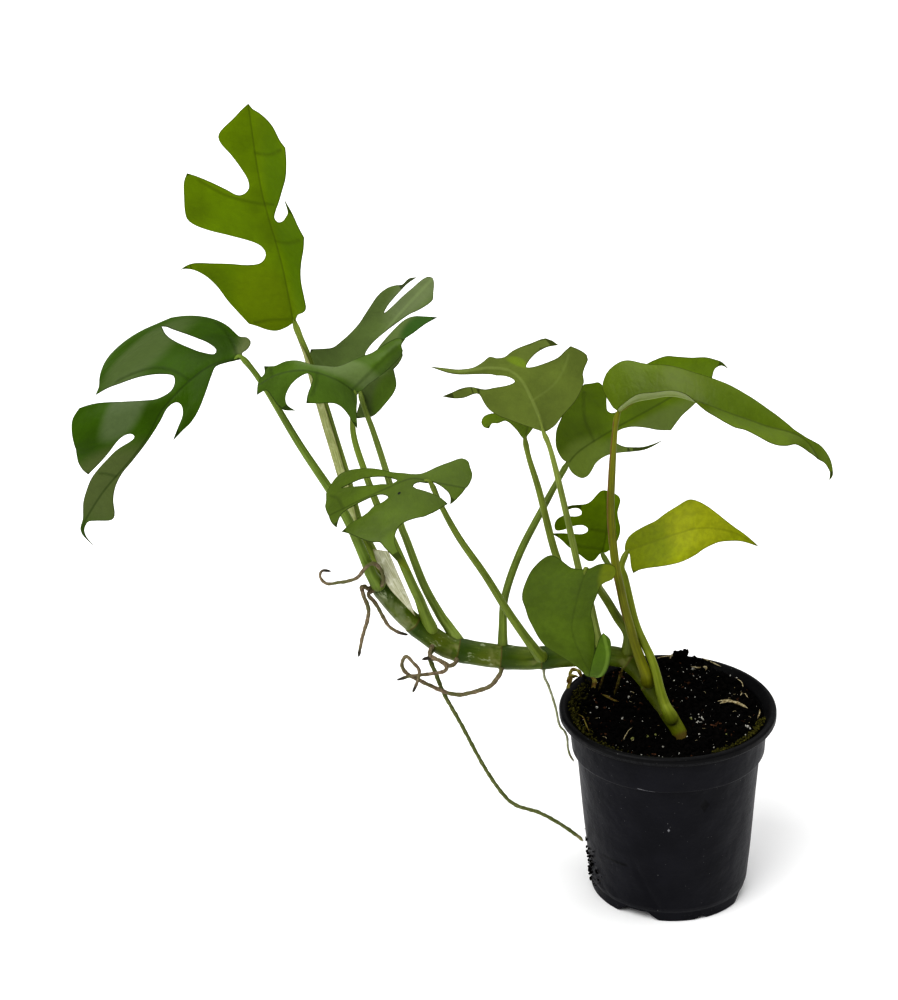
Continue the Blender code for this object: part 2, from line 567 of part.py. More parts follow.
# Leaves: midrib in world millimetres, base first; ribs as (share of the midrib, way out, bend per 10 mm);
# outline in the blade's own millimetres (along the midrib, left of it), with its tips marked
LEAVES = {
    "leaf_01": dict(
        look=LEAF_LIGHT,
        midrib=[(-177, 5, 294), (-182, 2, 325), (-190, 0, 360), (-195, 2, 399)],
        left=[(0, (-1, 0, 0.05))],
        right=[(0, (0.75, -0.6, -0.1))],
        outline=[
            (0, 0.5), (-3, 5), (-4.5, 9), (-4.2, 13), (-2.5, 17.5), (-1.5, 21, TIP), (3, 24), (10, 28.5),
            (17, 32), (22, 36), (25, 41), (25.3, 46), (23.5, 48.5, TIP), (26.8, 44.5), (28.5, 40),
            (28.8, 32), (29, 24), (28.8, 16), (30, 10), (33, 7), (36, 6.2), (39, 7.5), (41, 11),
            (43.5, 20), (46, 30), (48.5, 35.5), (51, 37.5), (55, 37.4), (62, 36), (69, 34.5),
            (73.4, 32.3, TIP), (72.3, 28.5), (69.8, 22.5), (66.5, 16), (64, 11.5), (65, 8), (68, 5.5),
            (72, 5.4), (77, 7.5), (83, 11), (88, 14.8), (91, 15.6), (94, 14), (100, 7.5), (104, 3.5),
            (107, 0, TIP), (105.3, -2), (104.5, -6), (102.5, -10.5), (100, -13.5), (95, -16.5),
            (92.5, -19.3, TIP), (86, -18.8), (78, -16.8), (72, -13.8), (68, -11.6), (64, -9.3), (59, -6),
            (54.5, -3.7), (53, -5), (54.5, -8.5), (58, -12), (61, -14), (66.5, -13.6, TIP), (61, -16.5),
            (55, -18.2), (50.3, -20, TIP), (44, -17.5), (36, -13.5), (30, -11.2), (24, -10), (16, -10),
            (11, -9.8), (8, -7.5), (5.5, -3.7), (2.5, -1.6),
        ],
    ),
    "leaf_02": dict(
        look=LEAF_DARK,
        midrib=[
            (-200, -15, 285), (-213, -17, 282), (-223, -20, 276), (-231, -24, 269), (-237, -26, 262),
            (-243, -28, 251), (-252, -29, 239), (-264, -27, 224), (-274, -24, 207), (-275, -23, 200),
            (-270, -21, 192),
        ],
        left=[
            (0, (0.3, -0.8, -0.5)), (0.22, (0.15, -0.45, -0.88)), (0.39, (0.35, -0.5, -0.8)),
            (0.56, (0.7, -0.5, -0.4)), (0.87, (0.8, -0.5, -0.3)),
        ],
        right=[
            (0, (-0.1, 0.7, 0.7), (-0.2, 0, -0.2)), (0.17, (-0.55, 0.5, 0.65), (-0.15, 0, -0.3)),
            (0.39, (-0.95, 0.1, 0.3), (0, 0.05, -0.2)), (0.48, (-0.95, 0.1, 0.16), (0, 0.05, -0.15)),
            (0.61, (-0.8, 0.3, 0.3), (0, 0.03, -0.2)), (0.87, (-0.8, 0.3, 0.2)),
        ],
        outline=[
            (0, 0.4), (4, 0.6), (8, 0.8), (12.5, 1.2), (15, 4), (20, 10.5), (25, 15.5), (29.5, 17.3),
            (36, 16.5), (43.5, 15.6, TIP), (38, 13.2), (33.8, 11), (33, 7.5), (35, 4), (38, 2.2),
            (42, 1.6), (47, 2.5), (52, 2), (57, 1.2), (65, 0.9), (73, 0.9), (80, 1), (88, 3), (95, 6.5),
            (100, 10.5), (103, 11.7), (105.5, 10.5), (110, 4.5), (113, 1.3), (121, 0.9), (128, 0.3, TIP),
            (121, -0.9), (113, -1.4), (109, -3), (104, -5.3), (98, -7), (90, -8.8), (84, -9.3), (76, -9.3),
            (70, -8.9), (66, -7.6), (62, -5.5), (60, -5.6), (59, -8), (60.5, -10.5), (64, -11.6),
            (71, -11.2), (80, -11), (88.5, -11.4, TIP), (87, -15), (82.5, -20.6), (76.5, -25), (69.5, -29),
            (63, -33.5), (55.5, -39), (49, -42.3), (45.4, -41.5, TIP), (45.5, -33), (45.8, -22),
            (45, -14.5), (43, -8), (41, -5), (37, -3), (34, -2.9), (31, -4.5), (29.6, -7), (31, -11),
            (35, -20), (38, -26.5), (39.3, -31), (41.5, -36, TIP), (38, -38), (33, -43.5), (27, -50),
            (22, -55.5), (18, -58), (14, -56.5), (11, -52.5), (9, -48), (6, -45, TIP), (5.3, -41),
            (3.5, -31), (1, -19.5), (-1, -10.8), (-4, -9.3), (-5.2, -6.8), (-4.4, -4.6), (-2.2, -2.7),
            (-0.4, -1.9),
        ],
        holes=[[
            (11, -4.7), (13.2, -6), (16, -10), (17.5, -17), (17, -24), (15, -31), (12.7, -36.5),
            (11, -40.5, TIP), (11.4, -37), (12.6, -31), (13.1, -24), (12.4, -17), (10.5, -11), (9.5, -6.5),
        ]],
    ),
    "leaf_03": dict(
        look=LEAF_UNDER,
        midrib=[(-147, 12, 257), (-144, 14, 266), (-141, 18, 276), (-135, 22, 284), (-126, 28, 293),
        (-114, 36, 304)],
        left=[(0, (0.8, -0.3, -0.3)), (0.3, (0.8, -0.4, 0.1)), (0.6, (0.7, -0.5, -0.2)),
        (1, (0.6, -0.4, -0.5))],
        right=[(0, (-0.9, 0.1, 0.1)), (1, (-0.75, 0.1, 0.5))],
        outline=[
            (0, 0), (-5, 1.2), (-12, 1.8), (-10.5, 5), (-8, 9), (-4, 11.4), (0, 13), (5, 15.3), (8, 15.7),
            (11, 14.2), (13.5, 12.7, TIP), (16, 15), (19, 16.2), (22, 14.4), (26, 12.2), (30, 11.2),
            (36, 12.3), (44, 13.3), (51, 15, TIP), (47.5, 10.5), (44, 6), (40, 3.9), (32, 3), (24, 2.4),
            (19, 1.4), (16, -1.5), (17.5, -2.8), (21, -2.3), (28, -0.6), (38, 2.2), (44, 3.8), (48, 5.6),
            (53, 7), (57, 7.2), (60, 5), (63.5, 2.2), (64.8, 0), (64, -2.2), (61, -3.3), (56, -3.9),
            (50, -4.7), (43, -5.3), (39, -6.1), (43, -7.1), (50, -7.2), (56, -7), (61, -5.8, TIP),
            (58.5, -8.2), (54.5, -8.6), (53, -10.5), (50, -12.8), (45, -13.9), (38, -13.2), (30, -12.5),
            (24, -13.5), (20, -15.5), (17, -18), (15.5, -22), (14, -28, TIP), (9, -27.5), (5, -22),
            (0, -17), (-4, -10), (-4, -3),
        ],
    ),
    "leaf_04": dict(
        look=LEAF_DARK,
        midrib=[(-149, -8, 265), (-158, -12, 273), (-171, -14, 278), (-183, -18, 278), (-191, -22, 275)],
        left=[(0, (0.2, -0.5, -0.8)), (0.5, (0.1, -0.5, -0.85)), (1, (0, -0.5, -0.85))],
        right=[(-0.15, (0.72, 0.35, 0.6)), (0.04, (0.72, 0.35, 0.6)), (0.3, (0.3, 0.85, 0.3)),
        (1, (0, 0.8, 0.2))],
        outline=[
            (0, 0.5), (-0.5, 3), (1.2, 8), (2.5, 13), (3.6, 19, TIP), (6, 17), (8, 14.6), (10.5, 12.8),
            (14, 12), (18, 13), (23, 14.6), (28, 15.2, TIP), (27, 11), (25.3, 7), (24, 3.5), (25.5, 1.2),
            (30, 3), (34.5, 6.5), (37, 11), (36.5, 15), (33, 18.3, TIP), (38, 17), (41, 13.5), (43.5, 9),
            (46.5, 4.5), (51.3, 4.3, TIP), (51, 0), (50, -4), (47.8, -6), (48.3, -12.6, TIP), (45, -9.5),
            (42, -7.6), (38, -8.6), (33, -7.8), (28, -5.6), (25, -4.8), (19.5, -6), (15.5, -7.5),
            (13, -10), (11, -13.5), (9, -17), (7, -20.5), (6, -25), (5, -29.5), (3.8, -32.8),
            (1.8, -33.8, TIP), (1, -30.5), (-1.5, -29), (-3, -26.5), (-3.5, -21.5), (-3.5, -16.5),
            (-2.8, -11), (-2, -6), (-2, -2.5),
        ],
    ),
    "leaf_05": dict(
        look=LEAF_DARK,
        midrib=[(-114, -40, 234), (-123, -41, 236), (-133, -44, 233), (-145, -46, 228), (-158, -46, 221)],
        left=[
            (-0.4, (0.4, -0.45, -0.8)), (-0.1, (0.3, -0.7, -0.6)), (0.1, (0.2, -0.85, -0.4), (0, 0, -0.1)),
            (1, (-0.1, -0.8, -0.5)),
        ],
        right=[(0, (0, 0.9, 0.35)), (1, (-0.1, 0.9, 0.2))],
        outline=[
            (0, -0.3), (-2, 0.1), (-4.3, 1.3), (-6.8, 4), (-7, 6.5), (-5.6, 10.6, TIP), (-8.5, 8),
            (-11, 5.5), (-14, 2.5), (-17, -1), (-19, -6), (-19.5, -10), (-18.5, -14), (-17.5, -18),
            (-14.5, -19), (-9, -15.2), (-3, -10.6), (2, -6), (5.5, -3.4), (9, -3), (13, -5.2), (18, -9),
            (22, -13), (28, -18.5), (33, -22), (38, -25), (42, -26), (45, -25), (48.5, -21),
            (50.8, -17, TIP), (51.2, -12), (52, -8), (51.5, -3), (50.3, 1.5), (48.3, 5.5), (45.7, 9, TIP),
            (45.4, 6), (44.6, 3.5), (43, 2), (38, 1.2), (32, 0.9), (28, 0.9), (24.5, 1.9), (22.3, 3.4),
            (21, 5.3), (24, 6.6), (28, 6.8), (31, 8.8), (35, 9.8), (39, 10.5), (42.8, 12.8, TIP), (40, 15),
            (36, 19), (32, 23), (29, 25.5), (26, 27), (24.5, 30), (21.5, 36), (18.5, 42), (15, 47.5, TIP),
            (17, 41), (19.3, 34), (20, 29), (19.3, 25), (17.5, 22.6), (15, 21.8), (10, 21.8), (7, 21.3),
            (4, 19), (1, 16), (-2, 13), (-4.5, 10.7, TIP), (-2.5, 8.4), (1, 6.9), (5, 6.6), (8, 6),
            (9.3, 4.6), (8.3, 3.2), (5.5, 1.8), (2.5, 1.2),
        ],
        holes=[[
            (16, -2), (19.5, -1.7), (23, -4), (28, -6.4), (33, -9.4), (38, -12.4), (43, -15.4, TIP),
            (38, -15.2), (33, -14.5), (29, -12.8), (25, -10.5), (21, -7.6), (18, -4.6),
        ]],
    ),
    "leaf_06": dict(
        look=LEAF_UNDER,
        midrib=[
            (-62, 0, 242), (-64, 1, 249), (-68, 3, 258), (-72, 5, 265), (-78, 6, 270), (-88, 4, 272),
            (-102, 0, 272), (-115, -4, 276),
        ],
        left=[(0, (0.95, 0.1, 0.1)), (0.4, (0.8, 0.2, 0.5)), (0.6, (0.3, 0.6, 0.7)), (1, (0.1, 0.7, 0.7))],
        right=[
            (0, (-0.95, -0.1, -0.1)), (0.35, (-0.9, -0.1, 0.1)), (0.6, (-0.3, -0.6, -0.7)),
            (1, (-0.1, -0.6, -0.7)),
        ],
        outline=[
            (0, 0.2), (0, 1.7), (2, 6), (5.5, 10.7), (10, 19), (15, 25.5), (17.5, 26.5), (19.5, 29),
            (21, 31.5), (22.5, 32), (25, 30.3), (27.5, 28, TIP), (27.2, 25), (26.5, 20), (27.2, 14),
            (28.5, 8.5), (30, 6), (31, 8), (31.7, 13), (31.2, 19), (29.7, 24, TIP), (31.5, 23.5),
            (33, 22.5), (35, 16.5), (38, 10), (39.3, 6.3), (42, 5.3), (45, 6), (47.5, 3.5), (51, 1.4),
            (57, 1), (64, 0.9), (72.5, 0, TIP), (64, -1), (55, -1.7), (47, -2.7), (40, -3.5), (36, -4.7),
            (32, -4.7), (28, -3.3), (26, -3.2), (24.5, -5), (23, -9), (21.8, -15), (20.9, -20),
            (21.8, -26), (21, -31), (19.3, -36), (17.8, -41, TIP), (17, -36), (17.3, -31), (18.8, -26),
            (18.8, -23.5), (15, -22.7), (12, -21.5), (9, -18), (8, -16), (5.5, -11), (3, -6), (1, -2),
        ],
    ),
    "leaf_07": dict(
        look=LEAF_DARK,
        midrib=[(-70, 15, 232), (-67, 17, 246), (-63, 20, 262)],
        left=[(0, (-1, 0, 0))],
        right=[(0, (1, 0, 0))],
        outline=[
            (0, 0.5), (5, 5.5), (9, 11), (7.7, 14.5), (7.7, 17.2), (5.2, 18, TIP), (5.8, 20.5),
            (8.3, 22.3), (11, 21.8), (12.4, 19.5), (13.5, 15), (20, 13), (26, 9), (31, 4), (34, 0, TIP),
            (30, -4), (24, -6.5), (17, -7), (10, -5), (5, -2.5), (2, -1),
        ],
    ),
    "leaf_08": dict(
        look=LEAF_DARK,
        midrib=[(-49, 30, 213), (-43, 30, 220), (-28, 31, 230), (-10, 33, 240), (8, 33, 251), (26, 30, 261)],
        left=[(0, (-0.6, 0, 0.8)), (1, (-0.4, 0.2, 0.9))],
        right=[(0, (0.6, -0.1, -0.8)), (1, (0.4, -0.1, -0.9))],
        outline=[
            (0, 0.6), (-0.8, 3), (-0.5, 7), (1, 11), (5, 15), (9, 17.5), (15, 21), (22, 24.5),
            (28, 26.5, TIP), (31, 25), (34, 23.5), (34.3, 18), (31.5, 12.5), (30.2, 9.5), (31.3, 7.3),
            (34, 6.8), (38, 9), (42, 13.5), (46, 17.5), (51, 19.7), (57, 19.9), (62, 19.4), (66, 18.5),
            (70, 16), (76, 12.5), (82, 10), (86, 7), (88.5, 4.5), (90, 0.5, TIP), (87.5, 3.3), (84, 3),
            (81.3, 0), (79, -3), (72, -7), (65.5, -9.2), (60, -10.5), (55, -12.5), (51.3, -14.2, TIP),
            (46, -11), (41, -6.8), (36, -3.5), (31.5, -2), (28, -2), (25.5, -3.2), (25.2, -5.5), (26, -8),
            (28, -10.5), (31, -12.5), (35, -14.7), (40, -15.9), (45.5, -16.5, TIP), (40, -16.8),
            (35, -16.3), (30, -14.4), (24, -11.5), (20, -9.8), (15, -9.2), (11, -9.8), (8, -11.2),
            (4.5, -11.8), (1, -10), (-1, -5.5), (-1, -2.2),
        ],
    ),
    "leaf_09": dict(
        look=LEAF_LIGHT,
        midrib=[
            (-28, -5, 254), (-21, -7, 260), (-13, -10, 263), (-4, -14, 266), (6, -18, 265), (20, -22, 261),
            (38, -24, 255), (57, -22, 247), (70, -20, 225),
        ],
        left=[(0, (-0.3, 0.6, 0.75)), (0.3, (0, 0.65, 0.75)), (1, (0.3, 0.6, 0.7))],
        right=[(0, (0.1, -0.8, 0.6)), (0.3, (0, -0.85, 0.5)), (0.42, (-0.1, -0.9, -0.3)),
        (1, (-0.2, -0.8, -0.5))],
        outline=[
            (0, 0.5), (-1.5, 3), (-2.3, 6), (-3.2, 10), (-3.5, 14), (-1.5, 17), (2, 19.5), (8, 20.2),
            (12, 19.5), (17, 17.3), (22, 15.6), (30, 14.2), (40, 13.6), (48, 13.8), (56, 13.5), (65, 11.5),
            (72, 9.3), (78, 7), (84, 4), (89, 1.8), (95, 1.6), (100, 3.3), (106, 6), (112, 7.5),
            (117, 7.3), (120.7, 4), (119.5, 0.3, TIP), (118.4, 3.2), (117, 3.5), (113, 3), (108, 0.5),
            (103, -2), (98, -4.3), (93, -5.3), (90, -5.8), (86, -8.5), (82, -9.8), (78, -9.7), (72, -8.3),
            (65, -7.2), (60, -8), (56, -7.3), (50, -6.2), (45, -7.5), (40, -9.5), (34, -11), (26, -12),
            (18, -13), (10, -14), (3, -14), (-1, -11), (-1.5, -6), (0, -2),
        ],
    ),
    "leaf_10": dict(
        look=LEAF_DARK,
        midrib=[(-32, 25, 168), (-30, 26, 180), (-30, 27, 190), (-31, 28, 199)],
        left=[(0, (-1, 0, 0))],
        right=[(0, (1, 0, 0))],
        outline=[
            (0.3, 0.5), (-2, 2), (-4, 3.5), (-4, 6), (-2, 9), (1, 13), (3.5, 17), (7, 21), (9, 24),
            (10.2, 26.5, TIP), (10.4, 22), (10.1, 16), (9.9, 11.5), (11.2, 9.1), (13.2, 9.3), (14.6, 12),
            (14, 16.5), (12.3, 20.5), (11.8, 24), (13.5, 25.2), (16, 25), (18.2, 23.3), (19.6, 20.5, TIP),
            (19, 17.5), (19, 14.5), (20, 12.3), (21.5, 12.2), (23, 13.5), (23.2, 16), (22.4, 18.6),
            (21.2, 21.5, TIP), (23.3, 20), (24.4, 17.5), (24.8, 14), (25.2, 10), (26.5, 7.5), (29, 5),
            (31.5, 2.5), (32.2, 0.5), (31.6, -2), (30.5, -4.5), (29, -6.3), (27, -6.8), (24.5, -6),
            (21, -5), (17, -5.5), (13, -6.5), (9, -6.5), (5, -5.5), (2, -3.5), (0.3, -1.5),
        ],
    ),
    "leaf_11": dict(
        look=LEAF_YELLOW,
        midrib=[(-21, 10, 176), (-6, 8, 183), (13, 8, 189), (30, 9, 186), (42, 10, 178)],
        left=[(0, (0, 0.6, 0.8))],
        right=[(0, (0, -0.6, -0.8))],
        outline=[
            (-1, 0.8), (-1, 3), (0, 5.5), (2, 7.3), (5, 8.3), (10, 9.1), (15, 9.7), (20, 11.7), (26, 13.3),
            (31.5, 14.8), (35, 13.8), (40, 11), (45, 7.7), (50, 4.7), (55, 2.5), (60, 1.6), (65, 1),
            (68, 0.3, TIP), (64, -0.8), (58, -2.6), (52, -4.4), (46, -6.3), (42, -8.3), (38, -10.5),
            (35, -12.4), (31, -13.8), (27, -14.3), (22, -13.9), (16, -12.9), (10, -11.7), (6, -11.2),
            (3.2, -11.7, TIP), (2.2, -9), (1.8, -6), (1.4, -2), (0.5, -0.5),
        ],
    ),
    "leaf_12": dict(
        look=LEAF_DARK,
        midrib=[
            (-43, -40, 190), (-47, -42, 175), (-49, -45, 162), (-45, -49, 151), (-39, -53, 142),
            (-35, -57, 146), (-33, -58, 155), (-35, -56, 165),
        ],
        left=[(0, (1, 0, 0))],
        right=[(0, (-1, 0, 0))],
        outline=[
            (0, -0.5), (-0.7, 2), (-2.5, 5), (-3, 9), (-1.5, 13), (2, 14.5), (5, 13.5), (6.3, 11),
            (8, 9.3), (12, 8.9), (18, 8), (22, 8.1), (27, 9.8), (32, 10.2), (36, 9), (41, 6.7), (46, 4),
            (50, 2.4), (56, 2), (62, 1.6), (68, 1.5), (73, 1.9), (78, 2.4), (81, 0, TIP), (79, -2),
            (75, -4.2), (70, -6.4), (65, -6.8), (60, -5.8), (55, -4), (50, -3.9), (46, -6.8), (42, -10.5),
            (38, -14.3), (34, -16), (29, -17.7), (24, -20.5), (19, -23), (15, -25.2), (11, -26),
            (6, -25.8), (1, -25), (-3, -23), (-6, -20.5), (-7.2, -18), (-6.5, -15.5), (-4, -11.5),
            (-1, -7), (-0.3, -3.5),
        ],
    ),
}
blades = {}
bodies = {}
for name, leaf in LEAVES.items():
    bodies[name] = blade_body(name, leaf, leaf["look"])
    blades[name] = Blade(leaf)
bpy.context.view_layer.update()

# Petioles: one to each leaf, from just off the stem to just under the blade
PETIOLES = {
    "petiole_01": ("leaf_01", [
        (-142.6, 6, 176), (-147.5, 5.5, 188), (-151, 5, 202), (-154.5, 5, 218), (-159.5, 5, 237),
        (-164, 5, 254), (-168.5, 5, 268), (-171.5, 5, 279), (-174.5, 5, 287.5),
    ]),
    "petiole_02": (
        "leaf_02",
        [(-142.6, -7.6, 172.6), (-144.4, -8.6, 178.5), (-148.9, -9.5, 190.9), (-153.5, -10, 202.5),
         (-161, -11, 217), (-175, -12, 241), (-190, -14, 270)],
    ),
    "petiole_03": (
        "leaf_03",
        [(-106, 5.5, 138), (-110, 6.5, 144), (-118, 7.5, 160), (-126, 8, 183), (-129, 8, 192),
         (-135, 6, 218), (-141, 4, 240), (-145, 6, 251)],
    ),
    "petiole_04": (
        "leaf_04",
        [(-117.9, -2.5, 150.5), (-119.9, -6, 158.5), (-123.6, -9.5, 169), (-132, -11, 191), (-139, -11, 209),
         (-145, -11, 227), (-150, -10, 246)],
    ),
    "petiole_05": (
        "leaf_05",
        [(-64, -9, 132), (-77, -18, 156), (-89, -27, 181), (-101, -34, 203), (-109, -37, 220)],
    ),
    "petiole_06": ("leaf_06", [(-35, -3, 138), (-40, -3, 161), (-44, -2, 171), (-51, -1, 202), (-58, 0, 231)]),
    "petiole_07": ("leaf_07", [(-43, 6, 138), (-50, 10, 160), (-56, 13, 177), (-63, 15, 205), (-68, 15, 222)]),
    "petiole_08": ("leaf_08", [(-80, 4, 137), (-79, 8, 153), (-72, 16, 172), (-61, 24, 192), (-53, 29, 206)]),
    "petiole_09": (
        "leaf_09",
        [(-11.5, -11.5, 120.5), (-14.5, -9.5, 128), (-17.5, -8, 136.5), (-20, -7.5, 145.5),
         (-22.5, -7, 154.5), (-24.5, -6.5, 163.5), (-27.5, -6, 178), (-30, -6, 201), (-30, -5, 220),
         (-29, -5, 245)],
    ),
    "petiole_10": (
        "leaf_10",
        [(-16.5, 6, 127.5), (-17.5, 7, 133), (-19, 9.5, 140), (-21, 12.5, 146.5), (-23, 15.5, 153),
         (-25, 18.5, 158.5), (-28.5, 21, 163)],
    ),
    "petiole_11": (
        "leaf_11",
        [(-1, -18.5, 104.5), (-3, -17, 108.5), (-5, -15, 114.5), (-7, -13, 122.5), (-9.5, -9.5, 129),
         (-12.5, -6, 134.5), (-15.5, -2, 140), (-17.5, 1, 145.5), (-19, 3, 151.5), (-20.5, 4.5, 158),
         (-22, 6, 164.5), (-23.5, 7.5, 169.5)],
    ),
    "petiole_12": (
        "leaf_12",
        [(-19.5, -1, 134), (-21, -1.5, 140), (-25.5, -2.5, 147), (-30.5, -9.5, 158.5), (-35, -20, 170),
         (-39, -29, 180), (-42, -35, 186)],
    ),
}
PETIOLE_RADII = {
    "petiole_01": [3.0, 2.6, 2.3, 2.1, 1.9, 1.3],
    "petiole_02": [2.6, 2.4, 2.1, 1.8, 1.6, 1.2],
    "petiole_03": [2.4, 2.0, 1.8, 1.6, 1.5, 1.1],
    "petiole_04": [2.6, 2.2, 1.9, 1.65, 1.5, 1.1],
    "petiole_05": [2.4, 2.0, 1.8, 1.65, 1.5, 1.1],
    "petiole_06": [2.0, 1.7, 1.6, 1.5, 1.4, 1.0],
    "petiole_07": [2.2, 1.9, 1.8, 1.7, 1.5, 1.1],
    "petiole_08": [2.1, 1.8, 1.8, 1.75, 1.6, 1.2],
    "petiole_10": [2.0, 1.7, 1.5, 1.4, 1.3, 1.0],
}
PETIOLE_USUAL = [2.6, 2.2, 2.0, 1.9, 1.7, 1.2]
for name, (leaf_name, way) in PETIOLES.items():
    radii = PETIOLE_RADII.get(name, PETIOLE_USUAL)
    route = from_stem(way, radii[0]) + [blades[leaf_name].start]
    route = short_of(route, radii[-1], bodies[leaf_name])
    tube(name, route, radii, PETIOLE_GREEN)

# Papery sheaths: the dry skins that wrapped a young leaf, still standing beside two petioles
SHEATHS = {
    "sheath_01": dict(
        midrib=[
            (-175, 3, 286), (-172.5, 2.5, 280), (-169.5, 2, 269), (-166, 2, 256), (-162.5, 1.7, 243),
            (-158.5, 1.5, 228), (-154.5, 1.5, 212), (-151, 1.2, 197), (-148, 1, 184),
        ],
        left=[(0, (0.94, 0.1, 0.33))],
        right=[(0, (-0.94, 0.15, -0.33))],
        outline=[
            (0, 0, TIP), (12, 1.2), (25, 1.9), (45, 2.1), (70, 2.1), (92, 1.6), (105, 0.4, TIP),
            (92, -1.5), (70, -1.9), (45, -1.9), (25, -1.5), (12, -0.8),
        ],
        fill=9.0,
    ),
    "sheath_02": dict(
        midrib=[
            (-121.8, -4.2, 148.6), (-126.4, -5.3, 158.4), (-131.5, -6, 168.5), (-136.3, -6, 180), (-140, -6, 189),
        ],
        left=[(0, (-0.9, 0.1, -0.42))],
        right=[(0, (0.9, -0.1, 0.42))],
        outline=[
            (0, 0, TIP), (6, 1.6), (12, 3), (18, 4.2), (26, 4.6), (34, 4.2), (41, 3.4, TIP), (39, 0),
            (37, -3.2, TIP), (28, -3), (20, -2.6), (12, -1.6), (6, -0.9),
        ],
        fill=9.0,
    ),
}
for name, leaf in SHEATHS.items():
    blade_body(name, leaf, PAPER_CREAM, SHEATH_THICKNESS)

# Aerial roots: thin brown threads from the leaf scars
ROOTS = {
    "root_01": (
        [(-137.8, -5.8, 165.5), (-136.8, -8.5, 170.5), (-138, -11, 176.5), (-141.5, -13, 180.5),
         (-145.5, -14, 178), (-148.5, -14.4, 174), (-153, -13.4, 171.5), (-158, -11, 169.5),
         (-163.5, -10, 168.5), (-166.5, -9, 171.5), (-165.5, -8.5, 174.5), (-161.5, -8, 174)],
        [1.0, 0.9, 0.8, 0.6],
    ),
    "root_02": (
        [(-143.6, -3, 162.5), (-145.8, -6, 165), (-147, -8.5, 165.5), (-146, -9.5, 161.5), (-144, -9, 155),
         (-144.5, -8, 148.5), (-147, -7, 139), (-149, -6, 128)],
        [1.1, 1.0, 0.9, 0.7],
    ),
    "root_03": (
        [(-144, -5, 160.5), (-141, -5.5, 156.5), (-138.5, -6, 152), (-136.5, -6.5, 148), (-134, -6.5, 144),
         (-130, -7, 141.5), (-125.5, -7, 140)],
        [1.0, 0.9, 0.7],
    ),
    "root_04": (
        [(-115, -6, 128), (-112, -5, 118), (-108, -5, 107), (-100, -5, 91), (-89, -5, 68), (-80, -5, 53),
         (-73, -5, 46), (-62, -5, 42), (-52, -5, 36), (-43, -5, 29), (-40, -5, 26)],
        [1.1, 0.95, 0.9, 0.9, 0.85],
    ),
    "root_05": (
        [(-102.5, -7, 125.5), (-105.5, -9, 124.5), (-108.5, -9, 126.5), (-112, -9, 128), (-116, -9, 128.5),
         (-118.5, -9, 128)],
        [1.1, 1.0, 0.8],
    ),
    "root_06": (
        [(-115, -9.5, 131.5), (-113, -11.5, 130), (-109.5, -12.5, 128.5), (-107, -13, 126),
         (-108.5, -13, 123.5), (-116.5, -13, 122), (-124.5, -13, 121), (-130.5, -13, 119)],
        [1.0, 0.9, 0.7],
    ),
    "root_07": (
        [(-81, -6, 119.5), (-83, -7, 116.5), (-85.5, -8, 113.5), (-90, -8.5, 111.5), (-95.5, -9, 110),
         (-100.5, -9, 109), (-106.5, -9, 110), (-115, -9, 114), (-119.5, -9, 116.5), (-125.5, -9, 120),
         (-128, -9.5, 124), (-128, -11, 128), (-126, -14, 132), (-123, -16, 130), (-120, -16.5, 126),
         (-120.5, -16.5, 121), (-123, -16, 114)],
        [1.1, 1.0, 0.9, 0.7],
    ),
    "root_08": (
        [(-60, -3, 116), (-57.8, -4.5, 111), (-55.4, -6, 104), (-53.9, -7.5, 98.5), (-53.2, -8, 94.5),
         (-52, -8, 91), (-50, -8, 88.5), (-48.7, -8, 85), (-48.3, -8.2, 80), (-47.3, -8.5, 76),
         (-45.3, -8.6, 72.4)],
        [0.65, 0.6, 0.55, 0.5],
    ),
}
for name, (way, radii) in ROOTS.items():
    tube(name, from_stem(way, radii[0]), radii, ROOT_BROWN, TUBE_STEP, 1)
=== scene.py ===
"""The looks of a potted mini monstera: a creeping vine in a black nursery pot, its stem out over the rim.

Lengths in the tables are in millimetres; every mesh is made in metres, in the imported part's frame.
"""
import math
import random

import bpy
import numpy as np
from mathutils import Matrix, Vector
from mathutils.geometry import delaunay_2d_cdt


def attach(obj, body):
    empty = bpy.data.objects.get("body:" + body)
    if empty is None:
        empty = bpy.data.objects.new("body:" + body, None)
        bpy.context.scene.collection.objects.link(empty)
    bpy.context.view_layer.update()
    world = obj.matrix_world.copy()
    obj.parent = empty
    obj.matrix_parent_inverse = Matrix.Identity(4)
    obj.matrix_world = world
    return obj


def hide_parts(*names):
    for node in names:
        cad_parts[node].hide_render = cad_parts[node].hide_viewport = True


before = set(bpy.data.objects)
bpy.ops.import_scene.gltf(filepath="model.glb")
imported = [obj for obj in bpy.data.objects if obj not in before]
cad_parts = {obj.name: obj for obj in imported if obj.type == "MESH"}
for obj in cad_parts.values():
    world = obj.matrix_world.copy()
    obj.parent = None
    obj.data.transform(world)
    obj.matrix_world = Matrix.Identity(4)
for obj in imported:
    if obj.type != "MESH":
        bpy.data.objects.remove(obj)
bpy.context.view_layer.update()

# Camera: a long lens above the plant, looking straight at its front and a little down on it
camera = bpy.data.objects.new("camera", bpy.data.cameras.new("camera"))
camera.location = (-0.1058, -1.3101, 0.7905)
camera.rotation_euler = (math.radians(66), 0.0, 0.0)
camera.data.lens = 110.0
camera.data.sensor_width = 36.0
camera.data.clip_end = 30.0
bpy.context.scene.collection.objects.link(camera)
bpy.context.scene.camera = camera


# Floor and light: a plain pale floor in a white studio, with one large soft light up on the left.
# The floor is a smooth matt sheet that runs on far behind the plant.
MM = 0.001


